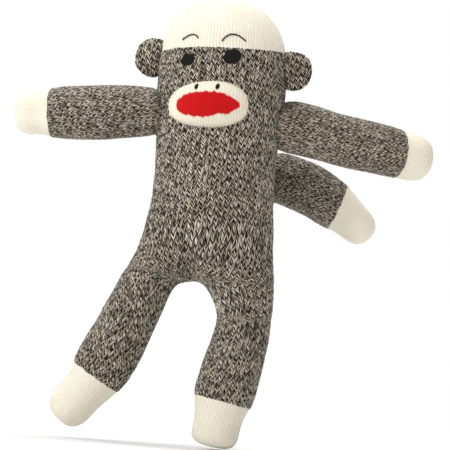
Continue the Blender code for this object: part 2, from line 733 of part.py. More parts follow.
def build_monkey():
    toy = bpy.data.objects.new("monkey", None)
    parts.objects.link(toy)
    homes["monkey"] = Vector((0, 0, 0))
    trunk = frame_at("trunk", (0, 0, 0), toy)
    build_trunk(trunk)
    build_muzzle(trunk)
    build_lips(trunk)
    build_stitched_features(trunk)

    for side, sign, height in (("left", 1, LEFT_EAR_Z), ("right", -1, RIGHT_EAR_Z)):
        place = (sign * (HEAD_HALF_WIDTH + EAR_STAND_OFF), EAR_Y, height)
        build_ear(side, sign, frame_at(f"{side}_ear", place, trunk))

    # each arm: turn of its seam round the trunk, height, angles back and down, cuff, tip, radii
    for side, sign, turn, height, back, down, cuff, tip, radii in (
        ("left", 1, 12, 0.2240, 28, 8.2, 0.0806, 0.1050, (0.0173, 0.0164, 0.0150)),
        ("right", -1, -16, 0.2270, -5, 4.5, 0.0672, 0.0920, (0.0178, 0.0160, 0.0148)),
    ):
        place = shoulder_place(turn, sign, height)
        root = frame_at(f"{side}_shoulder", place, trunk)
        arm = frame_at(f"{side}_arm", place, root)
        build_arm(side, place, aim(sign, back, down), cuff, tip, radii, root, arm)

    left_path = Path([
        (0.0240, 0.0, HIP_Z),
        (0.0278, -0.0010, 0.0888),
        (0.0254, -0.0020, 0.0740),
        (0.0208, -0.0040, 0.0470),
        (0.0180, -0.0052, 0.0290),
        (0.0150, -0.0065, 0.0),
    ])
    left_cuff, left_tip = 0.0755, left_path.total
    left_stations = [
        (0.018, 0.0189),
        (0.032, 0.0186),
        (0.045, 0.0195),
        (0.058, 0.0210),
        (0.070, 0.0216),
        (left_cuff, 0.0206),
    ]
    hip = frame_at("left_leg", left_path.point(0.0), trunk)
    build_leg("left", left_path, left_cuff, left_tip, left_stations, 0.0192, (-1, 0, 0), hip)

    right_path = Path([
        (-0.0432, 0.0, HIP_Z),
        (-0.0475, -0.0010, 0.0950),
        (-0.0588, -0.0022, 0.0680),
        (-0.0725, -0.0036, 0.0420),
        (-0.0840, -0.0048, 0.0260),
        (-0.0955, -0.0060, 0.0105),
    ])
    right_cuff, right_tip = 0.0705, right_path.total
    right_stations = [
        (0.018, 0.0187),
        (0.034, 0.0190),
        (0.048, 0.0190),
        (0.060, 0.0184),
        (right_cuff, 0.0174),
    ]
    hip = frame_at("right_leg", right_path.point(0.0), trunk)
    build_leg("right", right_path, right_cuff, right_tip, right_stations, 0.0166, (1, 0, 0), hip)

    tail_path = Path([
        (0.0, SEAT_HALF_DEPTH - 0.0010 + SHOULDER_STAND_OFF, 0.1720),
        (0.0050, 0.0545, 0.1780),
        (0.0150, 0.0620, 0.1860),
        (0.0310, 0.0650, 0.1925),
        (0.0560, 0.0640, 0.1860),
        (0.0790, 0.0620, 0.1735),
        (0.1055, 0.0590, 0.1545),
    ])
    root = frame_at("tail_root", tail_path.point(0.0), trunk)
    tail = frame_at("tail", tail_path.point(0.0), root)
    build_tail(tail_path, tail_path.total - 0.0300, tail_path.total, root, tail)
    shift_to_base(toy)


empty_scene()
homes = {}
parts = new_collection("stuffed_monkey")
guides = new_collection("guides")
build_monkey()
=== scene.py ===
"""The looks of the stuffed sock monkey: knitted skins, yarn seams, embroidery, and a plain studio.

Every knitted skin is a smooth cage that carries the fabric's own coordinates, wales across and rows along,
in its UV map. The stitches are then raised out of the skin from those coordinates, and the materials read
the same map, so that the colour of a stitch lies on the stitch.
"""

import json
import math

import bpy
import numpy as np
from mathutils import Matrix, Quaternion, Vector


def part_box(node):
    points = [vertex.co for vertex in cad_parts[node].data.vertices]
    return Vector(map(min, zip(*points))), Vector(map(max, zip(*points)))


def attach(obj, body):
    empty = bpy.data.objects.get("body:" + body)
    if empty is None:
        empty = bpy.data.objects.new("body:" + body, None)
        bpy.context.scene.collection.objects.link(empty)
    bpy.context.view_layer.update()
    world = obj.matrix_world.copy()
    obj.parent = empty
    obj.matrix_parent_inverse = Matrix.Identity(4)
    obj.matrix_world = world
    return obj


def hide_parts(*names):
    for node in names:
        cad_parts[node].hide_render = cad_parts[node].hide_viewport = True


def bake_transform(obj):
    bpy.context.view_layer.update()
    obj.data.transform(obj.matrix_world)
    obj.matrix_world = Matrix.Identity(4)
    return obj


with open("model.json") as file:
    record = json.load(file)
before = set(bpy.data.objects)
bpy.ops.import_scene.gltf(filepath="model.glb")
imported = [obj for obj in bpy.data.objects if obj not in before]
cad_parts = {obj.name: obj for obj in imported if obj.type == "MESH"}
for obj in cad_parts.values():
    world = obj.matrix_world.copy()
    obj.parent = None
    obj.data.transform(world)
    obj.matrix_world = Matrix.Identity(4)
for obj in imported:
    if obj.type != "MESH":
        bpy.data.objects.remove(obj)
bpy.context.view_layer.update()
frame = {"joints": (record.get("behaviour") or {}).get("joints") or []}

# ---------------------------------------------------------------- sizes
MM = 0.001
WALE = 3.2 * MM             # width of one column of stitches in the marled sock
ROW = 2.24 * MM             # height of one row of them
WALES_PER_CELL = 2.5        # of a cage
ROWS_PER_CELL = 3.75
LEVELS = 4                  # each cage cell becomes 16 by 16 faces
SLANT = 1.35                # how many rows a stitch's leg climbs from the middle of its wale to the side
EDGE_SLANT = 0.2            # the same for the stitches at the edge of a colour
MARL_DEPTH = 0.85 * MM
CREAM_DEPTH = 0.45 * MM
CREAM_SUNK = 0.5 * MM       # the cream lies this much below the marl, under its edge
MARL_EDGE_DROP = 0.75 * MM  # the marl's last stitches close down this far at the edge
STITCH_LEVEL = 0.45         # the part of a marled stitch's height that is sunk below the smooth skin
CREAM_FINENESS = 1.5        # cream wales to one marled wale
LIMB_FINENESS = 1.2         # wales of a stuffed arm or the tail to one of the trunk's
NOSE_CELLS = 3
BODY_COLUMNS = 32
HALF_COLUMNS = BODY_COLUMNS // 2
LIMB_COLUMNS = 14
CELL_LENGTH = ROWS_PER_CELL * ROW
BODY_LUMPS = (0.055, 3, 0.7 * MM)           # size, seed and height of the lumps under each skin
TUBE_LUMPS = (0.040, 0.6 * MM)              # the same without the seed
EAR_LUMPS = (0.016, 0.5 * MM)
FILLING_LUMPS = (0.012, 0.5 * MM)
UNEVENNESS = 0.16           # how far stitches are moved about, in wales and rows
UNEVEN_SIZE = 0.007         # from one place where they are moved to the next

crown_low, crown_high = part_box("crown_cap")
AXIS = 0.5 * (crown_low + crown_high)       # the trunk's axis
AXIS.z = 0.0
CAP_EDGE_Z = crown_low.z
CROWN_Z = crown_high.z + 3.8 * MM           # the stuffed crown domes up past its solid
KNIT_ROOM = 0.4 * MM                        # left above the crown's cage for its stitches
HALF_X = 0.5 * (crown_high.x - crown_low.x)
HALF_Y = 0.5 * (crown_high.y - crown_low.y)
homes = {joint["child"]: Vector(joint["pos_m"]) for joint in frame["joints"]}
LEFT, RIGHT = 1, -1


def at(x, y, z):
    """A place given from the trunk's axis."""
    return AXIS + Vector((x, y, z))


def turns(count, start=0.0):
    """Angles once round, in equal steps."""
    return [start + 2 * math.pi * k / count for k in range(count)]


def steps(low, high, count):
    """Evenly spaced values from just after low to high itself."""
    return [low + (high - low) * k / count for k in range(1, count + 1)]


def circle(centre, first, second, radius, angles):
    """Places round a centre: angle 0 lies toward first, a quarter turn toward second."""
    return [
        centre + first * (radius * math.cos(turn)) + second * (radius * math.sin(turn))
        for turn in angles
    ]


# ---------------------------------------------------------------- smooth skins from cages
class Cage:
    """A coarse mesh through which a smooth skin is drawn, with fabric coordinates at the corners."""

    def __init__(self):
        self.points = []
        self.faces = []
        self.corners = []

    def ring(self, points):
        """Adds the points, and gives their numbers."""
        first = len(self.points)
        self.points += [Vector(p) for p in points]
        return list(range(first, len(self.points)))

    def point(self, place):
        return self.ring([place])[0]

    def strip(self, upper, lower, row, next_row, first_column=0, closed=True):
        """Faces between two rings of the same length, the upper one at fabric row row."""
        count = len(upper)
        for k in range(count if closed else count - 1):
            after = (k + 1) % count
            u, v = (first_column + k) * WALES_PER_CELL, (first_column + k + 1) * WALES_PER_CELL
            self.faces.append((upper[k], lower[k], lower[after], upper[after]))
            self.corners.append(((u, row), (u, next_row), (v, next_row), (v, row)))

    def fan(self, ring, pole, row, pole_row, first_column=0, below=True):
        """Triangles that close a ring on a pole."""
        count = len(ring)
        for k in range(count):
            after = (k + 1) % count
            u, v = (first_column + k) * WALES_PER_CELL, (first_column + k + 1) * WALES_PER_CELL
            middle = 0.5 * (u + v)
            if below:
                self.faces.append((ring[k], pole, ring[after]))
                self.corners.append(((u, row), (middle, pole_row), (v, row)))
            else:
                self.faces.append((pole, ring[k], ring[after]))
                self.corners.append(((middle, pole_row), (u, row), (v, row)))

    def loft(self, loops, row, cell=ROWS_PER_CELL, start=None, above=None, end=None, first_column=0):
        """A skin through loops of points, which starts from a pole or a ring, and ends on a pole or open.

        Gives the last ring and the fabric row it lies on.
        """
        pole = None if start is None else self.point(start)
        for points in loops:
            ring = self.ring(points)
            if above is None:
                self.fan(ring, pole, row + cell, row, below=False)
            else:
                self.strip(above, ring, row, row + cell, first_column)
            above, row = ring, row + cell
        if end is not None:
            self.fan(above, self.point(end), row, row + cell, first_column)
        return above, row

    def mark(self, places):
        """Takes the fabric coordinates from a flat place, in metres, for each point."""
        flat = [(u / WALE, -v / ROW) for u, v in places]
        self.corners = [tuple(flat[point] for point in face) for face in self.faces]


def new_object(name, data):
    """An object in the scene."""
    thing = bpy.data.objects.new(name, data)
    bpy.context.scene.collection.objects.link(thing)
    return thing


def evaluated_arrays(thing):
    """The mesh that the modifiers make, and its places."""
    graph = bpy.context.evaluated_depsgraph_get()
    mesh = bpy.data.meshes.new_from_object(thing.evaluated_get(graph))
    co = np.empty(len(mesh.vertices) * 3)
    mesh.vertices.foreach_get("co", co)
    return mesh, co.reshape(-1, 3)


class Skin:
    """A dense smooth skin: places, normals, fabric coordinates and quads, as arrays.

    cells holds each vertex's fabric coordinates on the cage, fabric the same after they were made uneven.
    """

    FIT_STEPS = 6       # rounds of moving the cage until the smooth skin passes through its points

    def __init__(self, cage, levels=LEVELS):
        mesh = bpy.data.meshes.new("cage")
        mesh.from_pydata(cage.points, [], cage.faces)
        layer = mesh.uv_layers.new(name="knit")
        layer.data.foreach_set("uv", [value for face in cage.corners for corner in face for value in corner])
        thing = new_object("cage", mesh)
        smooth = thing.modifiers.new("smooth", "SUBSURF")
        smooth.uv_smooth = "NONE"
        smooth.use_limit_surface = True
        target = np.array(cage.points)
        placed = target.copy()
        smooth.levels = 1
        for _ in range(self.FIT_STEPS):
            mesh.vertices.foreach_set("co", placed.ravel())
            mesh.update()
            trial, co = evaluated_arrays(thing)
            placed += target - co[:len(target)]
            bpy.data.meshes.remove(trial)
        mesh.vertices.foreach_set("co", placed.ravel())
        mesh.update()
        smooth.levels = levels
        dense, self.co = evaluated_arrays(thing)
        bpy.data.objects.remove(thing)
        bpy.data.meshes.remove(mesh)

        self.quads = np.empty(len(dense.polygons) * 4, int)
        dense.loops.foreach_get("vertex_index", self.quads)
        self.quads = self.quads.reshape(-1, 4)
        corner = np.empty(len(dense.loops) * 2)
        dense.uv_layers["knit"].data.foreach_get("uv", corner)
        self.corner = corner.reshape(-1, 4, 2)
        bpy.data.meshes.remove(dense)
        self.fabric = np.empty((len(self.co), 2))
        self.fabric[self.quads.ravel()] = self.corner.reshape(-1, 2)
        self.cells = self.fabric.copy()
        self.normals = vertex_normals(self.co, self.quads)
        self.centre = self.corner.mean(axis=1)
        self.spread = self.stitch_spread()

    def stitch_spread(self):
        """How large each vertex's stitches are, against a full one."""
        p = self.co[self.quads]
        area = np.linalg.norm(np.cross(p[:, 2] - p[:, 0], p[:, 3] - p[:, 1]), axis=1)
        c = self.corner
        first, second = c[:, 2] - c[:, 0], c[:, 3] - c[:, 1]
        fabric = np.abs(first[:, 0] * second[:, 1] - first[:, 1] * second[:, 0])
        ratio = area / np.maximum(fabric, 1e-9) / (WALE * ROW)
        total, count = np.zeros(len(self.co)), np.zeros(len(self.co))
        for k in range(4):
            np.add.at(total, self.quads[:, k], ratio)
            np.add.at(count, self.quads[:, k], 1)
        return np.clip(total / np.maximum(count, 1), 0, 1)

    def uneven(self, seed):
        """Moves the stitches about a little, as hand-stuffed knitting does."""
        shift = np.stack([lumps(self.co, UNEVEN_SIZE, seed + k) for k in (0, 1)], axis=1) * UNEVENNESS
        self.fabric += shift
        self.corner = self.corner + shift[self.quads]
        self.centre = self.corner.mean(axis=1)

    def swell(self, size, seed, height):
        """Gives the skin slow lumps, as uneven stuffing does."""
        self.co = self.raised(lumps(self.co, size, seed) * height)
        self.normals = vertex_normals(self.co, self.quads)

    def raised(self, height):
        """The skin moved out along its normals by a height at each vertex."""
        return self.co + self.normals * height[:, None]

    def piece(self, name, co, material, keep=slice(None), normals=None):
        """An object from some of the skin's quads, with its vertices at co."""
        return make_piece(name, co, self.quads[keep], self.corner[keep], material, normals)


def vertex_normals(co, quads):
    """Each vertex's normal, from the quads about it."""
    p = co[quads]
    face = np.cross(p[:, 2] - p[:, 0], p[:, 3] - p[:, 1])
    normals = np.zeros_like(co)
    for k in range(4):
        np.add.at(normals, quads[:, k], face)
    return normals / np.maximum(np.linalg.norm(normals, axis=1), 1e-12)[:, None]


# ---------------------------------------------------------------- stitches
def scatter(i, j):
    """A number from 0 to 1 that looks random, for each pair of whole numbers."""
    wave = np.sin(i * 12.9898 + j * 78.233) * 43758.5453
    return wave - np.floor(wave)


def stitch_height(fabric):
    """Stocking stitch from 0 in the grooves to 1 on the yarn: two slanted legs in each wale."""
    a, b = fabric[:, 0], fabric[:, 1]
    across = np.abs(2 * (a - np.floor(a)) - 1)
    climb = b + SLANT * across
    part = climb - np.floor(climb)
    leg = np.sqrt(np.clip(1 - (2 * across - 1) ** 2, 0, 1))
    leg = np.where(across < 0.5, np.maximum(leg, 0.45), leg)
    swell = 0.5 + 0.5 * np.sin(np.pi * part) ** 0.7
    loose = 0.8 + 0.4 * scatter(np.floor(2 * a), np.floor(climb))
    return leg * swell * loose


def lumps(co, size, seed):
    """Slow waves over space, from -1 to 1, like uneven stuffing."""
    source = np.random.default_rng(seed)
    total = np.zeros(len(co))
    waves = 7
    for _ in range(waves):
        direction = source.normal(size=3)
        direction /= np.linalg.norm(direction)
        phase = source.uniform(0, 2 * np.pi)
        total += np.sin(co @ direction * (2 * np.pi / size) * source.uniform(0.7, 1.4) + phase)
    return total / math.sqrt(waves) / 1.6


def edge_climb(fabric):
    """Rows as the edge of a colour counts them: its stitches reach on a little at the sides of each wale."""
    a, b = fabric[:, 0], fabric[:, 1]
    return b + EDGE_SLANT * np.abs(2 * (a - np.floor(a)) - 1)


def marl_height(skin, edge=None, ahead=1):
    """The marled sock's relief. At an edge row the last stitches close down onto what is under them."""
    height = (stitch_height(skin.fabric) - STITCH_LEVEL) * MARL_DEPTH * skin.spread
    if edge is not None:
        short = np.clip((edge - edge_climb(skin.fabric)) * ahead / 0.45, 0, 1)
        height = height * short - MARL_EDGE_DROP * (1 - np.sqrt(short))
    return height


def cream_height(skin):
    """The cream knit's finer relief."""
    return (stitch_height(skin.fabric * CREAM_FINENESS) - 0.5) * CREAM_DEPTH * skin.spread - CREAM_SUNK


def make_piece(name, co, quads, corner, material, normals=None):
    """A mesh object from the chosen quads of a skin."""
    used, index = np.unique(quads, return_inverse=True)
    mesh = bpy.data.meshes.new(name)
    mesh.vertices.add(len(used))
    mesh.vertices.foreach_set("co", co[used].astype(np.float32).ravel())
    mesh.loops.add(quads.size)
    mesh.loops.foreach_set("vertex_index", index.ravel().astype(np.int32))
    mesh.polygons.add(len(quads))
    mesh.polygons.foreach_set("loop_start", np.arange(len(quads), dtype=np.int32) * 4)
    mesh.update(calc_edges=True)
    layer = mesh.uv_layers.new(name="knit")
    layer.data.foreach_set("uv", corner.astype(np.float32).ravel())
    mesh.shade_smooth()
    if normals is not None:
        mesh.normals_split_custom_set_from_vertices(normals[used].tolist())
    mesh.materials.append(material)
    return new_object(name, mesh)


def finish_piece(thing, body, slot, *nodes, fill=None, blend=None):
    """Parents a piece to its body's empty, or, given a bend, bakes its place into its mesh instead, and hides
    the parts it stands for.
    """
    if blend is None:
        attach(thing, body)
    else:
        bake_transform(thing)
    if nodes:
        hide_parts(*nodes)


# ---------------------------------------------------------------- materials
class Signal:
    """A number that the nodes work out at each point of a surface, so that sums of such read as sums."""

    def __init__(self, shader, socket):
        self.shader = shader
        self.socket = socket

    def apply(self, operation, *values):
        return self.shader.work_out(operation, self, *values)

    def __add__(self, other):
        return self.apply("ADD", other)

    def __sub__(self, other):
        return self.apply("SUBTRACT", other)

    def __mul__(self, other):
        return self.apply("MULTIPLY", other)


class Shader:
    """A material's nodes, with a short call for each kind that is used here."""

    def __init__(self, name, roughness=0.95, sheen=0.25):
        self.material = bpy.data.materials.new(name)
        self.material.use_nodes = True
        self.tree = self.material.node_tree
        self.surface = self.tree.nodes["Principled BSDF"]
        self.surface.inputs["Roughness"].default_value = roughness
        self.surface.inputs["Sheen Weight"].default_value = sheen
        self.surface.inputs["Sheen Roughness"].default_value = 0.45
        self.surface.inputs["Specular IOR Level"].default_value = 0.22

    def put(self, socket, value):
        if isinstance(value, Signal):
            value = value.socket
        if isinstance(value, bpy.types.NodeSocket):
            self.tree.links.new(value, socket)
        else:
            socket.default_value = value

    def node(self, kind, inputs=(), **settings):
        """A node with its settings and its inputs, which are given by number or by name."""
        node = self.tree.nodes.new(f"ShaderNode{kind}")
        for name, value in settings.items():
            setattr(node, name, value)
        for socket, value in dict(inputs).items():
            self.put(node.inputs[socket], value)
        return node

    def work_out(self, operation, *values):
        return Signal(self, self.node("Math", enumerate(values), operation=operation).outputs[0])

    def smooth(self, value, low, high, to_low=0.0, to_high=1.0):
        """An S-shaped step from to_low, where the value is low, to to_high, where it is high."""
        inputs = {"From Min": low, "From Max": high, "To Min": to_low, "To Max": to_high, "Value": value}
        return Signal(self, self.node("MapRange", inputs, interpolation_type="SMOOTHSTEP").outputs["Result"])

    def join(self, x, y, z=0.0):
        return self.node("CombineXYZ", enumerate((x, y, z))).outputs[0]

    def chance(self, vector):
        node = self.node("TexWhiteNoise", {"Vector": vector}, noise_dimensions="3D")
        return Signal(self, node.outputs["Value"])

    def noise(self, vector, scale, detail=2.0, roughness=0.55):
        inputs = {"Vector": vector, "Scale": scale, "Detail": detail, "Roughness": roughness}
        return Signal(self, self.node("TexNoise", inputs).outputs["Fac"])

    def ramp(self, value, stops):
        node = self.node("ValToRGB", {"Fac": value})
        elements = node.color_ramp.elements
        while len(elements) < len(stops):
            elements.new(0.5)
        for element, (place, colour) in zip(elements, stops):
            element.position = place
            element.color = tint(colour)
        return node.outputs["Color"]

    def mix(self, share, first, second, kind="MIX"):
        inputs = {"Factor": share, "A": first, "B": second}
        return self.node("Mix", inputs, data_type="RGBA", blend_type=kind).outputs["Result"]

    def fabric(self):
        """Wales across and rows along."""
        marks = self.node("UVMap", uv_map="knit").outputs["UV"]
        parts = self.node("SeparateXYZ", {0: marks})
        return Signal(self, parts.outputs["X"]), Signal(self, parts.outputs["Y"])

    def place(self):
        return self.node("TexCoord").outputs["Object"]

    def bump(self, height, distance, strength=0.7):
        inputs = {"Distance": distance, "Strength": strength, "Height": height}
        self.put(self.surface.inputs["Normal"], self.node("Bump", inputs).outputs["Normal"])

    def colour(self, value):
        self.put(self.surface.inputs["Base Color"], value)

    def glow(self, strength):
        self.surface.inputs["Emission Color"].default_value = (1.0, 1.0, 1.0, 1.0)
        self.put(self.surface.inputs["Emission Strength"], strength)


def linear(colour):
    """A colour given as it looks on a screen, from 0 to 255, as the renderer's linear light."""
    light = [c / 255 for c in colour]
    return [c / 12.92 if c <= 0.04045 else ((c + 0.055) / 1.055) ** 2.4 for c in light]


def tint(colour):
    return (*linear(colour), 1.0)


def stitch_parts(shader, fineness=1.0):
    """Where a point is in its stitch: wales, share across the wale, rows, and its leg's and row's number."""
    a, b = shader.fabric()
    if fineness != 1.0:
        a, b = a * fineness, b * fineness
    across = (a.apply("FRACT") * 2.0 - 1.0).apply("ABSOLUTE")
    climb = b + across * SLANT
    return a, across, climb, (a * 2.0).apply("FLOOR"), climb.apply("FLOOR")


def yarn_fibres(shader, across, climb, leg):
    """Fine hairs that run along a stitch's leg."""
    return shader.noise(shader.join(across * 9.0, climb * 2.4, leg), 1.6, detail=3.0, roughness=0.65)


def row_ends(climb):
    """From 0 in the middle of each stitch of a leg to 0.5 at its two ends."""
    return (climb.apply("FRACT") - 0.5).apply("ABSOLUTE")


MARL_DARKEST = (20, 16, 13)
MARL_DARK = (40, 33, 27)
MARL_BROWN = (70, 60, 48)
MARL_GREY = (152, 144, 131)
MARL_OAT = (208, 200, 186)
MARL_PALE = (244, 238, 226)
MARL_CAST_LOW = (226, 220, 210)
MARL_CAST_HIGH = (255, 250, 243)


def marl_material():
    """A dark and an oatmeal strand twisted together, so that each stitch shows some of both."""
    shader = Shader("marl_knit", roughness=0.97, sheen=0.12)
    a, across, climb, leg, row = stitch_parts(shader)
    chance, other, more = (shader.chance(shader.join(leg, row, seed)) for seed in (3.0, 11.0, 23.0))
    fibres = yarn_fibres(shader, across, climb, leg)
    # a turn of the twist crosses each leg on a slant, somewhere along it
    turn = climb * 0.75 + a * 0.6 + chance
    wave = (turn * (2 * math.pi)).apply("SINE") + (more - 0.5) * 0.6 + (fibres - 0.5) * 0.5
    pale = shader.smooth(wave, 0.10, 0.36)
    dark_yarn = shader.ramp(other, [(0.0, MARL_DARKEST), (0.55, MARL_DARK), (1.0, MARL_BROWN)])
    pale_yarn = shader.ramp(other, [(0.0, MARL_GREY), (0.4, MARL_OAT), (1.0, MARL_PALE)])
    colour = shader.mix(pale, dark_yarn, pale_yarn)
    # light doesn't reach down between the wales or between one stitch and the next
    between = shader.smooth(across, 0.72, 1.0, 1.0, 0.22)
    middle = shader.smooth(across, 0.0, 0.16, 0.7, 1.0)
    shade = between * middle * shader.smooth(row_ends(climb), 0.30, 0.5, 1.0, 0.45)
    colour = shader.mix(1.0, colour, shader.join(shade, shade, shade), "MULTIPLY")
    cast = shader.ramp(shader.noise(shader.place(), 34.0), [(0.3, MARL_CAST_LOW), (0.7, MARL_CAST_HIGH)])
    shader.colour(shader.mix(1.0, colour, cast, "MULTIPLY"))
    shader.bump(fibres + pale * 0.25, 0.3 * MM)
    return shader.material


# A knit's crest colour is the top of its stitches. Its deep colour is painted shade in the grooves between
# stitches, and also the darker tone that stitches take at random. The muzzle's crest is a little darker than
# the cream's.
CREAM_CREST = (254, 251, 241)
CREAM_DEEP = (219, 207, 176)
MUZZLE_CREST = (249, 242, 227)
MUZZLE_DEEP = (222, 209, 183)


def cream_material(name, crest, deep, fineness=CREAM_FINENESS, depth=0.22 * MM, sheen=0.2):
    """Cotton in a fine knit, undyed or of one colour, with painted shade in its grooves."""
    shader = Shader(name, roughness=0.93, sheen=sheen)
    _, across, climb, leg, row = stitch_parts(shader, fineness)
    fibres = yarn_fibres(shader, across, climb, leg)
    chance = shader.chance(shader.join(leg, row, 5.0))
    # painted shade: groove marks the sides and the middle of each wale and the ends of each stitch, where the
    # colour goes over to the deep one
    sides = shader.smooth(across, 0.55, 1.0).apply("MAXIMUM", shader.smooth(across, 0.2, 0.0, 0.0, 0.35))
    groove = sides.apply("MAXIMUM", shader.smooth(row_ends(climb), 0.36, 0.5, 0.0, 0.5))
    tone = fibres * 0.5 + chance * 0.35
    slow = shader.noise(shader.place(), 45.0)
    # first the painted shade in the grooves, then darker tone at random, stitch by stitch and in slow patches
    colour = shader.mix(groove, tint(crest), tint(deep))
    colour = shader.mix(shader.smooth(tone, 0.2, 0.75, 0.4, 0.0), colour, tint(deep))
    shader.colour(shader.mix(shader.smooth(slow, 0.45, 0.75, 0.0, 0.25), colour, tint(deep)))
    shader.bump(fibres - groove * 0.6, depth)
    return shader.material


# ---------------------------------------------------------------- the body: crown, trunk and legs in one skin
# Each section is (height, shift in X, half width, half depth), from the cap's edge down.
TRUNK_SECTIONS = [
    (CAP_EDGE_Z, 0.0, HALF_X + 0.0011, HALF_Y),
    (0.256, 0.0, HALF_X + 0.0020, HALF_Y),
    (0.236, 0.0, HALF_X + 0.0022, HALF_Y),
    (0.214, 0.0, HALF_X + 0.0004, HALF_Y),
    (0.186, 0.0, 0.0414, HALF_Y),
    (0.168, 0.0, 0.0418, 0.0355),
    (0.152, -0.0006, 0.0440, 0.0364),
    (0.137, -0.0024, 0.0474, 0.0365),
    (0.1235, -0.0042, 0.0514, 0.0360),
    (0.110, -0.0066, 0.0536, 0.0350),
]
CROTCH = (-0.0106, 0.1131)      # X and Z of the top of the arch between the legs
PANTS_TOP_Z = 0.152
HIP_CELLS = 5
CROWN_CELLS = 7
CROWN_FULLNESS = 0.82
CROWN_LEAN = -1.8 * MM          # at the very top


def section_at(z):
    """The trunk's section at a height, between those of the table."""
    for high, low in zip(TRUNK_SECTIONS, TRUNK_SECTIONS[1:]):
        if z >= low[0]:
            share = min(max((high[0] - z) / (high[0] - low[0]), 0.0), 1.0)
            return [h + (l - h) * share for h, l in zip(high, low)]
    return list(TRUNK_SECTIONS[-1])


def crown_rise(z):
    """How far up the crown a height is, from 0 at the cap's edge to 1 at the top."""
    return min(max((z - CAP_EDGE_Z) / (CROWN_Z - CAP_EDGE_Z), 0.0), 1.0)


def body_ring(z, spread=1.0):
    """From the middle of the front round by the left side."""
    _, shift, half_x, half_y = section_at(min(z, CAP_EDGE_Z))
    shift += CROWN_LEAN * crown_rise(z)
    return [
        at(shift + half_x * spread * math.cos(turn), half_y * spread * math.sin(turn), z)
        for turn in turns(BODY_COLUMNS, -math.pi / 2)
    ]


def hip_ring(leg, share):
    """Half of the body between the trunk and a leg: open at share 0, closed on the crotch at 1."""
    outer_z = leg.hip_rings[0][3]
    open_z = PANTS_TOP_Z - (PANTS_TOP_Z - outer_z) * share
    _, shift, half_x, half_y = section_at(open_z)
    quarter = share * math.pi / 2
    shut = 1 - max(math.cos(quarter), 0.0) ** 0.8
    drop = PANTS_TOP_Z - (PANTS_TOP_Z - CROTCH[1]) * math.sin(quarter)
    points = []
    for k in range(HALF_COLUMNS + 1):
        # from the middle of the front round the outer side to the middle of the back
        turn = math.pi * k / HALF_COLUMNS - math.pi / 2
        centred = (abs(turn) / (math.pi / 2)) ** 4
        wide = Vector((shift + leg.side * half_x * math.cos(turn), half_y * math.sin(turn), open_z))
        closed = oval_point(leg.hip_rings[0], 2 * turn)
        place = wide.lerp(closed, shut)
        place.z = (1 - centred) * ((1 - share) * wide.z + share * closed.z) + centred * drop
        points.append(at(*place))
    return points


def oval_point(ring, turn):
    """A point of a leg's oval ring: turn 0 is its outer side, half a turn its inner side."""
    inner_x, inner_z, outer_x, outer_z, depth = ring
    share = 0.5 * (1 - math.cos(turn))
    return Vector((
        outer_x + (inner_x - outer_x) * share,
        depth * math.sin(turn),
        outer_z + (inner_z - outer_z) * share,
    ))


class Path:
    """A smooth centreline through a few points."""

    STEPS = 24

    def __init__(self, points):
        knots = [Vector(p) for p in points]
        ends = [2 * knots[0] - knots[1], *knots, 2 * knots[-1] - knots[-2]]
        self.places = []
        for a, b, c, d in zip(ends, ends[1:], ends[2:], ends[3:]):
            for k in range(self.STEPS):
                t = k / self.STEPS
                curve = (c - a) * t + (2 * a - 5 * b + 4 * c - d) * t**2 + (3 * b - a - 3 * c + d) * t**3
                self.places.append(b + 0.5 * curve)
        self.places.append(knots[-1])
        self.lengths = [0.0]
        for a, b in zip(self.places, self.places[1:]):
            self.lengths.append(self.lengths[-1] + (b - a).length)
        self.total = self.lengths[-1]

    def point(self, along):
        """The place at a distance along, which may be before the start or past the end."""
        if along <= 0:
            return self.places[0] + (self.places[1] - self.places[0]).normalized() * along
        for k in range(len(self.lengths) - 1):
            if along <= self.lengths[k + 1]:
                share = (along - self.lengths[k]) / (self.lengths[k + 1] - self.lengths[k])
                return self.places[k].lerp(self.places[k + 1], share)
        return self.places[-1] + (self.places[-1] - self.places[-2]).normalized() * (along - self.total)

    def square(self, along, direction):
        """The direction turned square to the path, and one that is square to both."""
        reach = 3.0 * MM
        heading = (self.point(along + reach) - self.point(along - reach)).normalized()
        direction = Vector(direction)
        direction = (direction - heading * direction.dot(heading)).normalized()
        return direction, direction.cross(heading)


def radius_at(stations, along):
    """A smooth radius through (distance along, radius) stations."""
    if along <= stations[0][0]:
        return stations[0][1]
    for low, high in zip(stations, stations[1:]):
        if along <= high[0]:
            share = (along - low[0]) / (high[0] - low[0])
            share = share * share * (3 - 2 * share)
            return low[1] + (high[1] - low[1]) * share
    return stations[-1][1]


def nose_rings(start, tip, radius, fullness):
    """(distance along, radius) of the rings of a round end, from just past start to just before the tip."""
    made = []
    for k in range(1, NOSE_CELLS):
        turn = 0.5 * math.pi * k / NOSE_CELLS
        made.append((start + (tip - start) * math.sin(turn), radius * math.cos(turn) ** fullness))
    return made


class Limb:
    """The route, girths and colour edge of a stuffed tube, all measured along its centreline.

    The marled sleeve goes from start to cuff, and the last stretch, nose long, is rounded off.
    """

    def __init__(self, points, stations, cuff, nose, nose_fullness, start=0.0):
        self.path = Path(points)
        self.stations = stations
        self.start = start
        self.cuff = cuff
        self.nose = nose
        self.nose_fullness = nose_fullness
        self.sleeve_cells = round((cuff - start) / CELL_LENGTH)

    def profile(self, inset=0.0):
        """(distance along, radius) of each ring after the start, or of a thinner tube's inside it."""
        end = self.path.total - self.nose
        end_cells = max(round((end - self.cuff) / CELL_LENGTH), 1)
        stops = steps(self.start, self.cuff, self.sleeve_cells) + steps(self.cuff, end, end_cells)
        made = [(along, radius_at(self.stations, along) - inset) for along in stops]
        return made + nose_rings(end, self.path.total - inset, made[-1][1], self.nose_fullness)


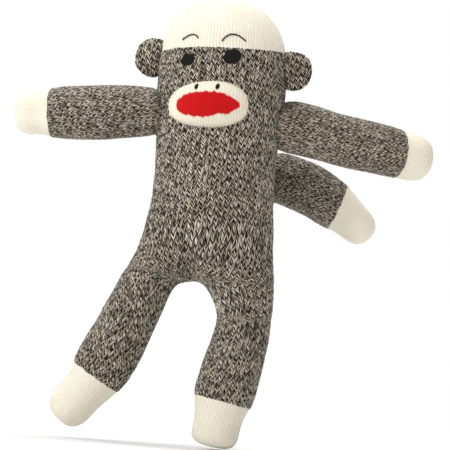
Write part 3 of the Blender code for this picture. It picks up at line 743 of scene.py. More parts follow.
class Leg(Limb):
    """A leg, which goes on from the body through a few oval hip rings."""

    def __init__(self, name, side, points, *sizes, hip_rings, **more_sizes):
        super().__init__([at(*p) for p in points], *sizes, **more_sizes)
        self.name = name
        self.side = side
        self.hip_rings = hip_rings

    def ring(self, along, radius):
        """From the inner side round by the front, the outer side and the back."""
        back, out = self.path.square(along, (0, 1, 0))
        out = out.normalized()
        if out.x * self.side < 0:
            out = -out
        return circle(self.path.point(along), out, back, radius, turns(HALF_COLUMNS, -math.pi))

    def hip_points(self, ring):
        """The same round a hip ring."""
        return [at(*oval_point(ring, turn)) for turn in turns(HALF_COLUMNS, -math.pi)]


# Each hip ring is (inner X, inner Z, outer X, outer Z, half depth), the first through the crotch.
LEFT_LEG = Leg(
    "left_leg", LEFT,
    [(0.0240, 0.0, 0.106), (0.0288, -0.0010, 0.0888), (0.0280, -0.0020, 0.0740), (0.0226, -0.0040, 0.0470),
     (0.0188, -0.0052, 0.0290), (0.0148, -0.0065, 0.0003)],
    [(0.018, 0.0186), (0.032, 0.0188), (0.045, 0.0195), (0.058, 0.0201), (0.070, 0.0202),
     (0.0768, 0.0193), (0.083, 0.0177), (0.096, 0.0166)],
    start=0.0205, cuff=0.0768, nose=0.0085, nose_fullness=0.55,
    hip_rings=[
        (CROTCH[0], CROTCH[1], 0.0474, 0.1115, 0.0265),
        (-0.0020, 0.1112, 0.0476, 0.1040, 0.0240),
        (0.0056, 0.1018, 0.0478, 0.0965, 0.0220),
        (0.0100, 0.0920, 0.0476, 0.0900, 0.0202),
    ],
)
RIGHT_LEG = Leg(
    "right_leg", RIGHT,
    [(-0.0432, 0.0, 0.106), (-0.0480, -0.0010, 0.0940), (-0.0580, -0.0022, 0.0683),
     (-0.0712, -0.0036, 0.0424), (-0.0835, -0.0048, 0.0258), (-0.0955, -0.0060, 0.0105)],
    [(0.018, 0.0188), (0.034, 0.0193), (0.048, 0.0201), (0.060, 0.0197), (0.0705, 0.0180),
     (0.076, 0.0164), (0.090, 0.0155)],
    start=0.0190, cuff=0.0705, nose=0.0150, nose_fullness=0.72,
    hip_rings=[
        (CROTCH[0], CROTCH[1], -0.0560, 0.1190, 0.0255),
        (-0.0200, 0.1108, -0.0592, 0.1128, 0.0236),
        (-0.0260, 0.1022, -0.0622, 0.1068, 0.0218),
        (-0.0292, 0.0925, -0.0650, 0.1010, 0.0203),
    ],
)


def build_body_cage():
    """The whole body's cage. Fabric rows count down from the cap's edge."""
    cage = Cage()
    cell_count = round((CAP_EDGE_Z - PANTS_TOP_Z) / CELL_LENGTH)
    loops = []
    for k in range(CROWN_CELLS - 1, 0, -1):
        turn = 0.5 * math.pi * k / CROWN_CELLS
        z = CAP_EDGE_Z + (CROWN_Z - KNIT_ROOM - CAP_EDGE_Z) * math.sin(turn)
        loops.append(body_ring(z, math.cos(turn) ** CROWN_FULLNESS))
    loops += [body_ring(z) for z in [CAP_EDGE_Z, *steps(CAP_EDGE_Z, PANTS_TOP_Z, cell_count)]]

    # down to the crotch, where the middle of the front meets the middle of the back
    for k in range(1, HIP_CELLS):
        left, right = hip_ring(LEFT_LEG, k / HIP_CELLS), hip_ring(RIGHT_LEG, k / HIP_CELLS)
        around = left + right[-2:0:-1]
        around[0] = 0.5 * (left[0] + right[0])
        around[HALF_COLUMNS] = 0.5 * (left[-1] + right[-1])
        loops.append(around)
    top = at(CROWN_LEAN, 0, CROWN_Z - KNIT_ROOM)
    upper, row = cage.loft(loops, -CROWN_CELLS * ROWS_PER_CELL, start=top)
    crotch = cage.point(at(CROTCH[0], 0.0, CROTCH[1]))
    for leg in (LEFT_LEG, RIGHT_LEG):
        inside = cage.ring(hip_ring(leg, 1.0)[1:-1])
        first = 0
        if leg.side == RIGHT:
            inside.reverse()
            first = HALF_COLUMNS
        above = [*upper, upper[0]][first:first + HALF_COLUMNS + 1]
        below = [crotch, *inside, crotch]
        cage.strip(above, below, row, row + ROWS_PER_CELL, first_column=first, closed=False)
        add_leg(cage, leg, below[:-1], row + ROWS_PER_CELL, first)
    return cage, row + ROWS_PER_CELL


def add_leg(cage, leg, ring, row, first):
    """Carries the cage on from the ring through the crotch to the sole."""
    profile = [(leg.start, radius_at(leg.stations, leg.start)), *leg.profile()]
    loops = [leg.hip_points(oval) for oval in leg.hip_rings[1:]]
    loops += [leg.ring(along, radius) for along, radius in profile]
    if leg.side == RIGHT:
        loops = [[points[0], *reversed(points[1:])] for points in loops]
    leg.cuff_row = row + (len(leg.hip_rings) + leg.sleeve_cells) * ROWS_PER_CELL
    cage.loft(loops, row, above=ring, end=leg.path.point(leg.path.total), first_column=first)


CAP_DROP = 0.5                  # rows that the cap's edge hangs down on the toy's right
CAP_RAISE = 1.3                 # rows that it is drawn up on the left


def cap_edge(fabric):
    """The row at which the cap ends: a little lower on the toy's right, higher on its left."""
    wales = BODY_COLUMNS * WALES_PER_CELL
    left = np.sin(fabric[:, 0] * 2 * math.pi / wales)
    return CAP_DROP * np.clip(-left, 0, 1) - CAP_RAISE * np.clip(left, 0, 1) ** 3


TUCK_ROWS = 2.5                 # how far the cream goes in under the marl's edge
LEG_BEND_LENGTH = 0.050


def leg_bend(leg):
    """The crotch, and a point down from it and out toward the leg's side: the span a leg's pieces are given
    as their bend.
    """
    start = at(CROTCH[0], 0, CROTCH[1])
    return start, start + Vector((leg.side * 0.5, 0, -0.866)) * LEG_BEND_LENGTH


def on_side(leg, columns):
    """Which of the fabric's columns lie on the leg's side of the body."""
    return (columns < HALF_COLUMNS * WALES_PER_CELL) == (leg.side == LEFT)


def build_body(marl, cream, filling):
    """Trunk, crown and legs, cut from one skin along the fabric's rows."""
    cage, crotch_row = build_body_cage()
    skin = Skin(cage)
    skin.swell(*BODY_LUMPS)
    columns, rows = skin.centre[:, 0].copy(), skin.centre[:, 1].copy()
    skin.uneven(5)
    climb = edge_climb(skin.centre)
    pants_row = round((CAP_EDGE_Z - PANTS_TOP_Z) / CELL_LENGTH) * ROWS_PER_CELL

    marl_co = skin.raised(marl_height(skin, edge=cap_edge(skin.fabric), ahead=-1))
    for leg in (LEFT_LEG, RIGHT_LEG):
        near = on_side(leg, skin.cells[:, 0]) & (skin.cells[:, 1] > leg.cuff_row - 6)
        marl_co[near] = skin.raised(marl_height(skin, edge=leg.cuff_row))[near]
    cream_co = skin.raised(cream_height(skin))
    normals = vertex_normals(marl_co, skin.quads)

    trunk = (climb > cap_edge(skin.centre)) & (rows < pants_row)
    piece = skin.piece("trunk_skin", marl_co, marl, trunk, normals)
    finish_piece(piece, "trunk", "marl_knit", "trunk_sock", fill=0.8)
    piece = skin.piece("crown_skin", cream_co, cream, rows < TUCK_ROWS)
    finish_piece(piece, "trunk", "cream_knit", "crown_cap", fill=0.85)
    for leg in (LEFT_LEG, RIGHT_LEG):
        own = on_side(leg, columns)
        bodies, bend = ("trunk", leg.name), leg_bend(leg)
        sleeve = own & (rows > pants_row) & (climb < leg.cuff_row)
        piece = skin.piece(f"{leg.name}_skin", marl_co, marl, sleeve, normals)
        finish_piece(piece, bodies, "marl_knit", f"{leg.name}_sleeve", fill=0.8, blend=bend)
        foot = leg.name.replace("leg", "foot")
        piece = skin.piece(f"{foot}_skin", cream_co, cream, own & (rows > leg.cuff_row - TUCK_ROWS))
        finish_piece(piece, bodies, "cream_knit", foot, fill=0.8, blend=bend)

        def in_leg(core, leg=leg):
            return on_side(leg, core.centre[:, 0]) & (core.centre[:, 1] > pants_row)

        build_stuffing(f"{leg.name}_stuffing", cage, bodies, filling, 8, keep=in_leg, blend=bend)

    def in_trunk(core):
        return core.centre[:, 1] < pants_row

    build_stuffing("trunk_stuffing", cage, "trunk", filling, 8, keep=in_trunk)
    return skin, crotch_row


# ---------------------------------------------------------------- tubes that are sewn on: arms and tail
ROOT_CELLS = 3
LIMB_TUCK_ROWS = 3.0
BODY_WALL = 2.3 * MM            # from a skin to the filling under it
TUBE_WALL = 2.4 * MM


class Tube(Limb):
    """A ball about the middle of its seam, then a sleeve, then a cream end."""

    def __init__(self, *sizes, lean=0.0, bulge=0.0, **more_sizes):
        super().__init__(*sizes, **more_sizes)
        self.lean = lean
        self.bulge = bulge
        self.cuff_row = (ROOT_CELLS + self.sleeve_cells) * ROWS_PER_CELL * LIMB_FINENESS

    def ring(self, along, radius):
        """From the underside round."""
        under, across = self.path.square(along, (0, 0, -1))
        return circle(self.path.point(along), under, across, radius, turns(LIMB_COLUMNS))

    def cage(self, inset=0.0):
        """The tube's cage, or that of a thinner tube inside it."""
        root = self.stations[0][1] - inset
        quarter = steps(0.0, 0.5 * math.pi, ROOT_CELLS)
        profile = [(-root * math.cos(turn), root * math.sin(turn)) for turn in quarter]
        profile += self.profile(inset)
        cage = Cage()
        loops = [self.ring(along, radius) for along, radius in profile]
        cage.loft(loops, 0, start=self.path.point(-root), end=self.path.point(self.path.total - inset))
        fine = LIMB_FINENESS
        cage.corners = [tuple((u * fine, v * fine) for u, v in face) for face in cage.corners]
        return cage

    def edge(self, fabric):
        """The row at which the marl ends: it may lean out below, and bulge out in front and behind."""
        around = fabric[:, 0] * 2 * math.pi / (LIMB_COLUMNS * WALES_PER_CELL * LIMB_FINENESS)
        return self.cuff_row + self.lean * np.cos(around) + self.bulge * np.abs(np.sin(around))


def build_tube(tube, body, nodes, materials, seed):
    """Sleeve, cream end and stuffing of a sewn-on tube."""
    sleeve_node, end_node, stuffing_node = nodes
    marl, cream, filling = materials
    skin = Skin(tube.cage())
    size, height = TUBE_LUMPS
    skin.swell(size, seed, height)
    skin.uneven(seed)
    edge = tube.edge(skin.centre)
    marl_co = skin.raised(marl_height(skin, edge=tube.edge(skin.fabric)))
    normals = vertex_normals(marl_co, skin.quads)
    piece = skin.piece(f"{sleeve_node}_knit", marl_co, marl, edge_climb(skin.centre) < edge, normals)
    finish_piece(piece, body, "marl_knit", sleeve_node, fill=0.8)
    cream_co = skin.raised(cream_height(skin))
    piece = skin.piece(f"{end_node}_knit", cream_co, cream, skin.centre[:, 1] > edge - LIMB_TUCK_ROWS)
    finish_piece(piece, body, "cream_knit", end_node, fill=0.8)
    build_stuffing(stuffing_node, tube.cage(TUBE_WALL), body, filling, seed, inset=0.0)


def build_stuffing(node, cage, body, filling, seed, keep=None, blend=None, inset=BODY_WALL):
    """Fibre-fill: the skin's own shape drawn in, with lumps."""
    core = Skin(cage, levels=3)
    size, height = FILLING_LUMPS
    co = core.raised(lumps(core.co, size, seed) * height - inset)
    chosen = slice(None) if keep is None else keep(core)
    piece = core.piece(f"{node}_fill", co, filling, chosen)
    finish_piece(piece, body, "filling", node, fill=1.0, blend=blend)


def aim(side, back_degrees, down_degrees):
    """A direction out to a side, turned back and down."""
    back, down = math.radians(back_degrees), math.radians(down_degrees)
    return Vector((side * math.cos(back) * math.cos(down), math.sin(back) * math.cos(down), -math.sin(down)))


def straight(start, direction, length, rise=0.0):
    """Points along a line, whose far end may turn up a little."""
    points = []
    for share in (0.0, 0.25, 0.5, 0.75, 1.0):
        points.append(start + direction * (length * share) + Vector((0, 0, rise * share**3)))
    return points


LEFT_ARM = Tube(
    straight(homes["left_arm"], aim(LEFT, 28, 7.6), 0.1050, 1.6 * MM),
    [(0.0, 0.0176), (0.014, 0.0177), (0.035, 0.0175), (0.055, 0.0174), (0.072, 0.0175), (0.0806, 0.0171),
     (0.085, 0.0169), (0.105, 0.0165)],
    cuff=0.0806, nose=0.0150, nose_fullness=0.66, lean=0.5, bulge=0.7,
)
RIGHT_ARM = Tube(
    straight(homes["right_arm"], aim(RIGHT, -5, 4.5), 0.0920),
    [(0.0, 0.0168), (0.014, 0.0181), (0.030, 0.0185), (0.050, 0.0182), (0.060, 0.0175), (0.0672, 0.0163),
     (0.072, 0.0150), (0.092, 0.0146)],
    cuff=0.0672, nose=0.0120, nose_fullness=0.60,
)
TAIL_POINTS = [
    (0.0050, 0.0545, 0.1780), (0.0150, 0.0622, 0.1862), (0.0310, 0.0655, 0.1940),
    (0.0560, 0.0640, 0.1870), (0.0790, 0.0620, 0.1735), (0.1030, 0.0590, 0.1548),
]
TAIL = Tube(
    [homes["tail"], *(at(*p) for p in TAIL_POINTS)],
    [(0.0, 0.0162), (0.022, 0.0168), (0.040, 0.0178), (0.062, 0.0183), (0.088, 0.0174), (0.0985, 0.0163),
     (0.105, 0.0146), (0.127, 0.0120)],
    cuff=0.0985, nose=0.0150, nose_fullness=0.78, lean=1.7, bulge=3.3,
)


# ---------------------------------------------------------------- yarn and threads
class Yarn:
    """Two-ply yarn along any number of strands, in one mesh."""

    SIDES = 10
    STEP = 0.35 * MM

    def __init__(self, radius, turn_length=2.2 * MM):
        self.radius = radius
        self.turn_length = turn_length
        self.co, self.quads, self.corner = [], [], []
        self.count = 0

    def add(self, points, taper=0.6):
        """One strand through the points, that narrows within taper radii of its ends."""
        points = np.array([list(p) for p in points])
        steps = np.linalg.norm(np.diff(points, axis=0), axis=1)
        lengths = np.concatenate([[0], np.cumsum(steps)])
        count = max(int(lengths[-1] / self.STEP), 6)
        along = np.linspace(0, lengths[-1], count + 1)
        places = np.stack([np.interp(along, lengths, points[:, k]) for k in range(3)], axis=1)
        heading = np.gradient(places, axis=0)
        heading /= np.linalg.norm(heading, axis=1)[:, None]
        first = np.cross(heading, (0.31, 0.52, 0.79))
        first /= np.linalg.norm(first, axis=1)[:, None]
        second = np.cross(heading, first)
        end = np.minimum(along, lengths[-1] - along) / (taper * self.radius)
        swell = self.radius * np.sqrt(np.clip(1 - (1 - np.clip(end, 0, 1)) ** 2, 0.01, 1))
        turn = 2 * np.pi * np.arange(self.SIDES) / self.SIDES
        twist = along / self.turn_length
        ply = 0.84 + 0.2 * np.abs(np.cos(turn[None, :] - 2 * np.pi * twist[:, None]))
        reach = (swell[:, None] * ply)[:, :, None]
        cosine, sine = np.cos(turn)[None, :, None], np.sin(turn)[None, :, None]
        ring = first[:, None, :] * cosine + second[:, None, :] * sine
        self.co.append((places[:, None, :] + ring * reach).reshape(-1, 3))
        k, m = np.meshgrid(np.arange(count), np.arange(self.SIDES), indexing="ij")
        after = (m + 1) % self.SIDES
        base = self.count
        quads = np.stack([
            base + k * self.SIDES + m, base + k * self.SIDES + after,
            base + (k + 1) * self.SIDES + after, base + (k + 1) * self.SIDES + m,
        ], axis=-1).reshape(-1, 4)
        share = twist[k.ravel()], twist[k.ravel() + 1]
        left, right = m.ravel() / self.SIDES, (m.ravel() + 1) / self.SIDES
        corner = np.stack([
            np.stack([left, share[0]], -1), np.stack([right, share[0]], -1),
            np.stack([right, share[1]], -1), np.stack([left, share[1]], -1),
        ], axis=1)
        self.quads.append(quads)
        self.corner.append(corner)
        self.count += (count + 1) * self.SIDES

    def piece(self, name, material):
        co, quads, corner = (np.concatenate(part) for part in (self.co, self.quads, self.corner))
        return make_piece(name, co, quads, corner, material)


WHIP_LEAN = 0.35        # how far a stitch leans along its seam, in stitches
WHIP_SUNK = 0.35        # how far its ends go into the cloth, to its height
# Millimetres: the yarn's radius, the seam's length to a stitch, and the stitch's width and height.
SEAM_STITCHES = {
    "muzzle": (0.30, 2.4, 1.6, 0.5),
    "ear": (0.36, 2.6, 2.0, 0.8),
    "root": (0.40, 3.4, 2.4, 0.7),
    "crotch": (0.38, 2.8, 2.6, 0.7),
    "inseam": (0.34, 3.2, 1.9, 0.45),
}


def whip(yarn, places, normals, pitch, width, height):
    """Stitches over a seam, each an arch across it that leans along it."""
    places = [Vector(p) for p in places]
    lengths = [0.0]
    for a, b in zip(places, places[1:]):
        lengths.append(lengths[-1] + (b - a).length)
    count = max(int(lengths[-1] / pitch), 1)
    for k in range(count):
        along = (k + 0.5) * lengths[-1] / count
        m = next(i for i in range(len(lengths) - 1) if along <= lengths[i + 1])
        share = (along - lengths[m]) / max(lengths[m + 1] - lengths[m], 1e-9)
        place = places[m].lerp(places[m + 1], share)
        heading = (places[m + 1] - places[m]).normalized()
        out = Vector(normals[m]).lerp(Vector(normals[m + 1]), share).normalized()
        across = out.cross(heading).normalized()
        wander = 0.85 + 0.3 * float(scatter(np.float64(k), np.float64(count)))
        points = []
        for t in np.linspace(0, 1, 9):
            arch = height * wander * (math.sin(math.pi * t) - WHIP_SUNK)
            points.append(place + across * (0.5 * width * wander * math.cos(math.pi * t)) + out * arch
                          + heading * (WHIP_LEAN * pitch * (t - 0.5)))
        yarn.add(points)


def whipped(name, kind, lines, material):
    """A piece of whip stitches along lines, each of which is (places, normals)."""
    radius, pitch, width, height = (size * MM for size in SEAM_STITCHES[kind])
    yarn = Yarn(radius)
    for places, normals in lines:
        whip(yarn, places, normals, pitch, width, height)
    return yarn.piece(f"{name}_whip", material)


def yarn_material(name, pale, dark, roughness=0.9, sheen=0.2):
    """Spun yarn: its plies' grooves, with painted shade in them, and the hairs along them."""
    shader = Shader(name, roughness=roughness, sheen=sheen)
    around, along = shader.fabric()
    lay = around - along
    groove = (lay * (2 * math.pi)).apply("COSINE").apply("ABSOLUTE")
    fibres = shader.noise(shader.join(lay * 14.0, along * 1.5), 1.0, detail=3.0, roughness=0.65)
    # the dark colour is painted shade in the grooves between the plies, and the hairs vary it at random
    tone = groove * 0.6 + fibres * 0.6
    shader.colour(shader.mix(shader.smooth(tone, 0.15, 0.85), tint(dark), tint(pale)))
    shader.bump(fibres + groove, 0.15 * MM)
    return shader.material


def filling_material():
    """White polyester fibre in tufts."""
    shader = Shader("fibre_fill", roughness=1.0, sheen=0.5)
    place = shader.place()
    tufts = shader.noise(place, 160.0, detail=4.0, roughness=0.7)
    wisps = shader.noise(place, 900.0, detail=3.0, roughness=0.75)
    tone = tufts * 0.6 + wisps * 0.4
    shader.colour(shader.ramp(tone, [(0.3, (206, 206, 200)), (0.5, (238, 238, 233)), (0.7, (252, 252, 248))]))
    shader.bump(tone, 0.9 * MM, strength=0.9)
    return shader.material


# ---------------------------------------------------------------- places on the front of the head
def front_y(x, z):
    """How far forward the front of the body is, from its axis."""
    _, shift, half_x, half_y = section_at(min(z, CAP_EDGE_Z))
    rise = min(crown_rise(z), 0.999)
    spread = math.cos(math.asin(rise)) ** CROWN_FULLNESS
    half_x, half_y = half_x * spread, half_y * spread
    shift += CROWN_LEAN * rise
    across = min(abs(x - shift) / half_x, 0.999)
    return -half_y * math.sqrt(1 - across**2)


def on_front(x, z, lift):
    """A point lifted square off the front of the body, and the direction it was lifted in."""
    step = 0.5 * MM
    here = at(x, front_y(x, z), z)
    right = at(x + step, front_y(x + step, z), z) - here
    above = at(x, front_y(x, z + step), z + step) - here
    out = right.cross(above).normalized()
    size, seed, height = BODY_LUMPS
    lump = float(lumps(np.array([list(here)]), size, seed)[0]) * height
    return here + out * (lift + lump), out


FACE_ROLL = math.radians(3.5)       # the face is sewn on a little askew
MUZZLE_CENTRE = (-0.0018, 0.2312)
MUZZLE_HALF = (0.0278, 0.0154)
MUZZLE_SQUARENESS = 2.3             # 2 would be an ellipse
MUZZLE_SWELL = 0.09                 # it is a little taller on the toy's left, and less on its right
MUZZLE_BULGE = 0.0115
MUZZLE_LIFT = 0.9 * MM
MUZZLE_FINENESS = 1.8               # muzzle wales to one marled wale
MUZZLE_DEPTH = 0.24 * MM            # of its stitches


def muzzle_point(u, v, lift=0.0):
    """A point over the face, from the middle of the muzzle along its own level axes."""
    x = MUZZLE_CENTRE[0] + u * math.cos(FACE_ROLL) - v * math.sin(FACE_ROLL)
    z = MUZZLE_CENTRE[1] + u * math.sin(FACE_ROLL) + v * math.cos(FACE_ROLL)
    power = MUZZLE_SQUARENESS
    tall = MUZZLE_HALF[1] * (1 + MUZZLE_SWELL * u / MUZZLE_HALF[0])
    reach = (abs(u / MUZZLE_HALF[0]) ** power + abs(v / tall) ** power) ** (1 / power)
    reach = min(reach, 1.0)
    rise = MUZZLE_BULGE * math.sqrt(max(1 - reach**2.4, 0.0))
    return at(x, front_y(x, z) - MUZZLE_LIFT - lift - rise, z)


def muzzle_rim(turn, share=1.0):
    """Where the muzzle's outline, or a smaller copy of it, is at a turn about the middle."""
    power = 2 / MUZZLE_SQUARENESS
    cosine, sine = math.cos(turn), math.sin(turn)
    u = MUZZLE_HALF[0] * share * math.copysign(abs(cosine) ** power, cosine)
    v = MUZZLE_HALF[1] * share * math.copysign(abs(sine) ** power, sine)
    return u, v * (1 + MUZZLE_SWELL * u / MUZZLE_HALF[0])


def muzzle_out(u, v):
    """Square off the muzzle."""
    step = 0.4 * MM
    here = muzzle_point(u, v)
    return (muzzle_point(u + step, v) - here).cross(muzzle_point(u, v + step) - here).normalized()


MUZZLE_COLUMNS = 24
# (share of the way out to the rim, how far sunk into the face)
MUZZLE_RINGS = [(0.25, 0), (0.5, 0), (0.72, 0), (0.88, 0), (0.97, 0), (1.0, 0.6 * MM), (0.985, 2.2 * MM)]


def muzzle_cage(size=1.0, sunk=0.0):
    """The muzzle's dome, or a smaller one sunk below it."""
    loops, flat = [], [(0.0, 0.0)]
    for share, sink in MUZZLE_RINGS:
        places = [muzzle_rim(turn, share * size) for turn in turns(MUZZLE_COLUMNS)]
        loops.append([muzzle_point(u, v, -sink - sunk) for u, v in places])
        flat += places
    cage = Cage()
    cage.loft(loops, 0, start=muzzle_point(0, 0, -sunk))
    cage.mark(flat)
    return cage


def build_muzzle(cream, cream_yarn, filling):
    """The padded oval under nose and mouth, and the stitches round it."""
    skin = Skin(muzzle_cage())
    co = skin.raised((stitch_height(skin.fabric * MUZZLE_FINENESS) - 0.5) * MUZZLE_DEPTH)
    finish_piece(skin.piece("muzzle_skin", co, cream), "trunk", "cream_knit", "muzzle_cover", fill=0.7)
    build_stuffing("muzzle_stuffing", muzzle_cage(0.90, 1.6 * MM), "trunk", filling, 31, inset=0.0)

    # the thread lies just outside the rim, and faces as the muzzle does just inside it
    outside, inside = 1.004, 0.93
    rim = [muzzle_rim(turn) for turn in (*turns(96), 2 * math.pi)]
    places = [muzzle_point(u * outside, v * outside, -0.4 * MM) for u, v in rim]
    normals = [muzzle_out(u * inside, v * inside) for u, v in rim]
    piece = whipped("muzzle", "muzzle", [(places, normals)], cream_yarn)
    finish_piece(piece, "trunk", "cream_yarn", "muzzle_seam")


# ---------------------------------------------------------------- lips, nostrils, eyes and brows
LIPS_HALF = (0.0220, 0.0088)
LIPS_CENTRE = (0.0023, -0.0014)
LIPS_RIB = 1.2 * MM
LIPS_FINENESS = WALE / LIPS_RIB
LIPS_COMB = 0.4 * MM                        # how far each rib reaches past the grooves beside it
LIPS_RAGGED = 1.1 * MM                      # how unevenly the ribs end
LIPS_NOTCH = (0.0105, 0.0034, 1.4 * MM)     # where it is, its width and its depth
LIPS_FACES = (300, 44)                      # across and up
LIPS_THICKNESS = (0.75, 0.55)               # in a groove, and how much more on a rib, in millimetres
LIPS_ROLL = 0.8 * MM                        # how wide the rolled rim is
LIPS_SUNK = 0.5 * MM                        # the rim's edge goes this far into the muzzle


def lips_edges(u):
    """Lower and upper edge of the lips at u: round at one corner of the mouth, pointed at the other."""
    share = (u - LIPS_CENTRE[0]) / LIPS_HALF[0]
    power, roundness = np.where(share < 0, 2.4, 2.3), np.where(share < 0, 0.5, 0.7)
    half = LIPS_HALF[1] * np.clip(1 - np.abs(share) ** power, 0, 1) ** roundness
    number = np.floor(u / LIPS_RIB)
    comb = LIPS_COMB * np.cos(2 * np.pi * (u / LIPS_RIB - number - 0.5))
    ragged = LIPS_RAGGED * np.clip(half / 0.004, 0, 1)
    upper = LIPS_CENTRE[1] + half + comb + ragged * (scatter(number, 4.0) - 0.5)
    lower = LIPS_CENTRE[1] - half - comb - ragged * (scatter(number, 9.0) - 0.5)
    place, width, depth = LIPS_NOTCH
    lower += depth * np.exp(-(((u - place) / width) ** 2))
    return lower, np.maximum(upper, lower + 0.1 * MM)


def quarter_round(share):
    """From 0 at the rim, up a quarter of a circle, to 1 at share 1 and beyond."""
    return math.sqrt(1 - (1 - min(share, 1.0)) ** 2)


def build_lips(red):
    """A thick patch of knit on the muzzle, ribs up and down, with a rolled rim."""
    across, up = LIPS_FACES
    thin, ribbing = LIPS_THICKNESS
    us = LIPS_CENTRE[0] + LIPS_HALF[0] * np.linspace(-0.998, 0.998, across + 1)
    lower, upper = lips_edges(us)
    co, mark = [], []
    for k, u in enumerate(us):
        rib = abs(math.sin(math.pi * u / LIPS_RIB))
        corner = quarter_round(min(k, across - k) * 0.15)
        for m in range(up + 1):
            t = m / up
            v = lower[k] + (upper[k] - lower[k]) * t
            rim = quarter_round(min(t, 1 - t) * (upper[k] - lower[k]) / LIPS_ROLL)
            stitch = 0.75 + 0.25 * abs(math.sin(math.pi * v / ROW * LIPS_FINENESS))
            co.append(muzzle_point(u, v, -LIPS_SUNK + (thin + ribbing * rib * stitch) * MM * rim * corner))
            mark.append((u / WALE, -v / ROW))
    co, mark = np.array([list(p) for p in co]), np.array(mark)
    k, m = np.meshgrid(np.arange(across), np.arange(up), indexing="ij")
    base = (k * (up + 1) + m).ravel()
    quads = np.stack([base, base + up + 1, base + up + 2, base + 1], axis=-1)
    finish_piece(make_piece("lips_patch", co, quads, mark[quads], red), "trunk", "red_yarn", "lips", fill=0.6)


FLOSS_RADIUS = 0.50 * MM                    # the black embroidery yarn's
SATIN_PITCH = 0.72 * MM
SATIN_PAD = 1.0 * MM


def build_eye(name, x, z, half_x, half_z, power, black):
    """Satin stitch: threads side by side over a little padding."""
    yarn = Yarn(FLOSS_RADIUS, turn_length=3.0 * MM)
    count = int(2 * half_x / SATIN_PITCH)
    for k in range(count + 1):
        s = -1 + 2 * k / count
        reach = half_z * (1 - min(abs(s) * 0.96, 1.0) ** power) ** (1 / power)
        reach *= 0.94 + 0.12 * float(scatter(np.float64(k), np.float64(count)))
        points = []
        for t in np.linspace(-1, 1, 11):
            tilt = 0.12 * t * half_z
            pad = SATIN_PAD * math.sqrt(max(1 - s * s * 0.8, 0)) * (1 - t**4)
            points.append(on_front(x + s * half_x + tilt, z + t * reach, pad + 0.05 * MM)[0])
        yarn.add(points)
    finish_piece(yarn.piece(f"{name}_satin", black), "trunk", "black_yarn", name, fill=0.6)


def build_brow(name, start, peak, end, black):
    """An arc of back stitches."""
    yarn = Yarn(FLOSS_RADIUS, turn_length=2.0 * MM)

    def place(t, lift):
        rise = 1 - (2 * t - 1) ** 2
        x = (1 - t) * start[0] + t * end[0] + rise * (peak[0] - 0.5 * (start[0] + end[0]))
        z = (1 - t) * start[1] + t * end[1] + rise * (peak[1] - 0.5 * (start[1] + end[1]))
        return on_front(x, z, lift)[0]

    stitches = 6
    overlap = 1.08
    for k in range(stitches):
        points = []
        for t in np.linspace(0, 1, 9):
            lift = 0.5 * MM * math.sin(math.pi * t) - 0.15 * MM
            points.append(place(min((k + t * overlap) / stitches, 1.0), lift))
        yarn.add(points, taper=1.2)
    finish_piece(yarn.piece(f"{name}_stitches", black), "trunk", "black_yarn", name)


def build_nostril(name, u, v, black):
    """Three straight stitches side by side, the middle one the longest."""
    yarn = Yarn(FLOSS_RADIUS, turn_length=2.0 * MM)
    for across, half in ((-0.80 * MM, 1.6 * MM), (0.0, 2.4 * MM), (0.80 * MM, 1.7 * MM)):
        points = []
        for t in np.linspace(-1, 1, 9):
            lift = 0.55 * MM * (1 - t * t) - 0.2 * MM
            points.append(muzzle_point(u + across, v + half * t + 0.1 * across, lift))
        yarn.add(points)
    finish_piece(yarn.piece(f"{name}_stitches", black), "trunk", "black_yarn", name)


def build_face(red, black):
    """What is sewn on the muzzle, the brow and the crown."""
    build_lips(red)
    build_nostril("right_nostril", -0.0050, 0.0106, black)
    build_nostril("left_nostril", 0.0096, 0.0104, black)
    build_eye("right_eye", -0.0172, 0.2615, 0.0044, 0.0042, 2.6, black)
    build_eye("left_eye", 0.0133, 0.2646, 0.0052, 0.0050, 2.8, black)
    build_brow("right_brow", (-0.0235, 0.2752), (-0.0160, 0.2790), (-0.0112, 0.2762), black)
    build_brow("left_brow", (0.0055, 0.2746), (0.0122, 0.2801), (0.0212, 0.2761), black)


# ---------------------------------------------------------------- ears
EAR_RADIUS = 0.0136
EAR_HALF_DEPTH = 0.0062
EAR_STEPS = 8
EAR_SEAM_X = 0.0448
EAR_SEAM_HALF = 0.0112
EAR_SHIFT = {"left": 0.6 * MM, "right": 1.4 * MM}      # out from the ear's hinge


def ear_offset(turn, around):
    """From the ear's middle: turn 0 is the middle of its front, half a turn the middle of its back."""
    reach = EAR_RADIUS * max(math.sin(turn), 0.0) ** 0.72
    return Vector((
        reach * math.cos(around),
        -EAR_HALF_DEPTH * math.cos(turn),
        reach * math.sin(around),
    ))


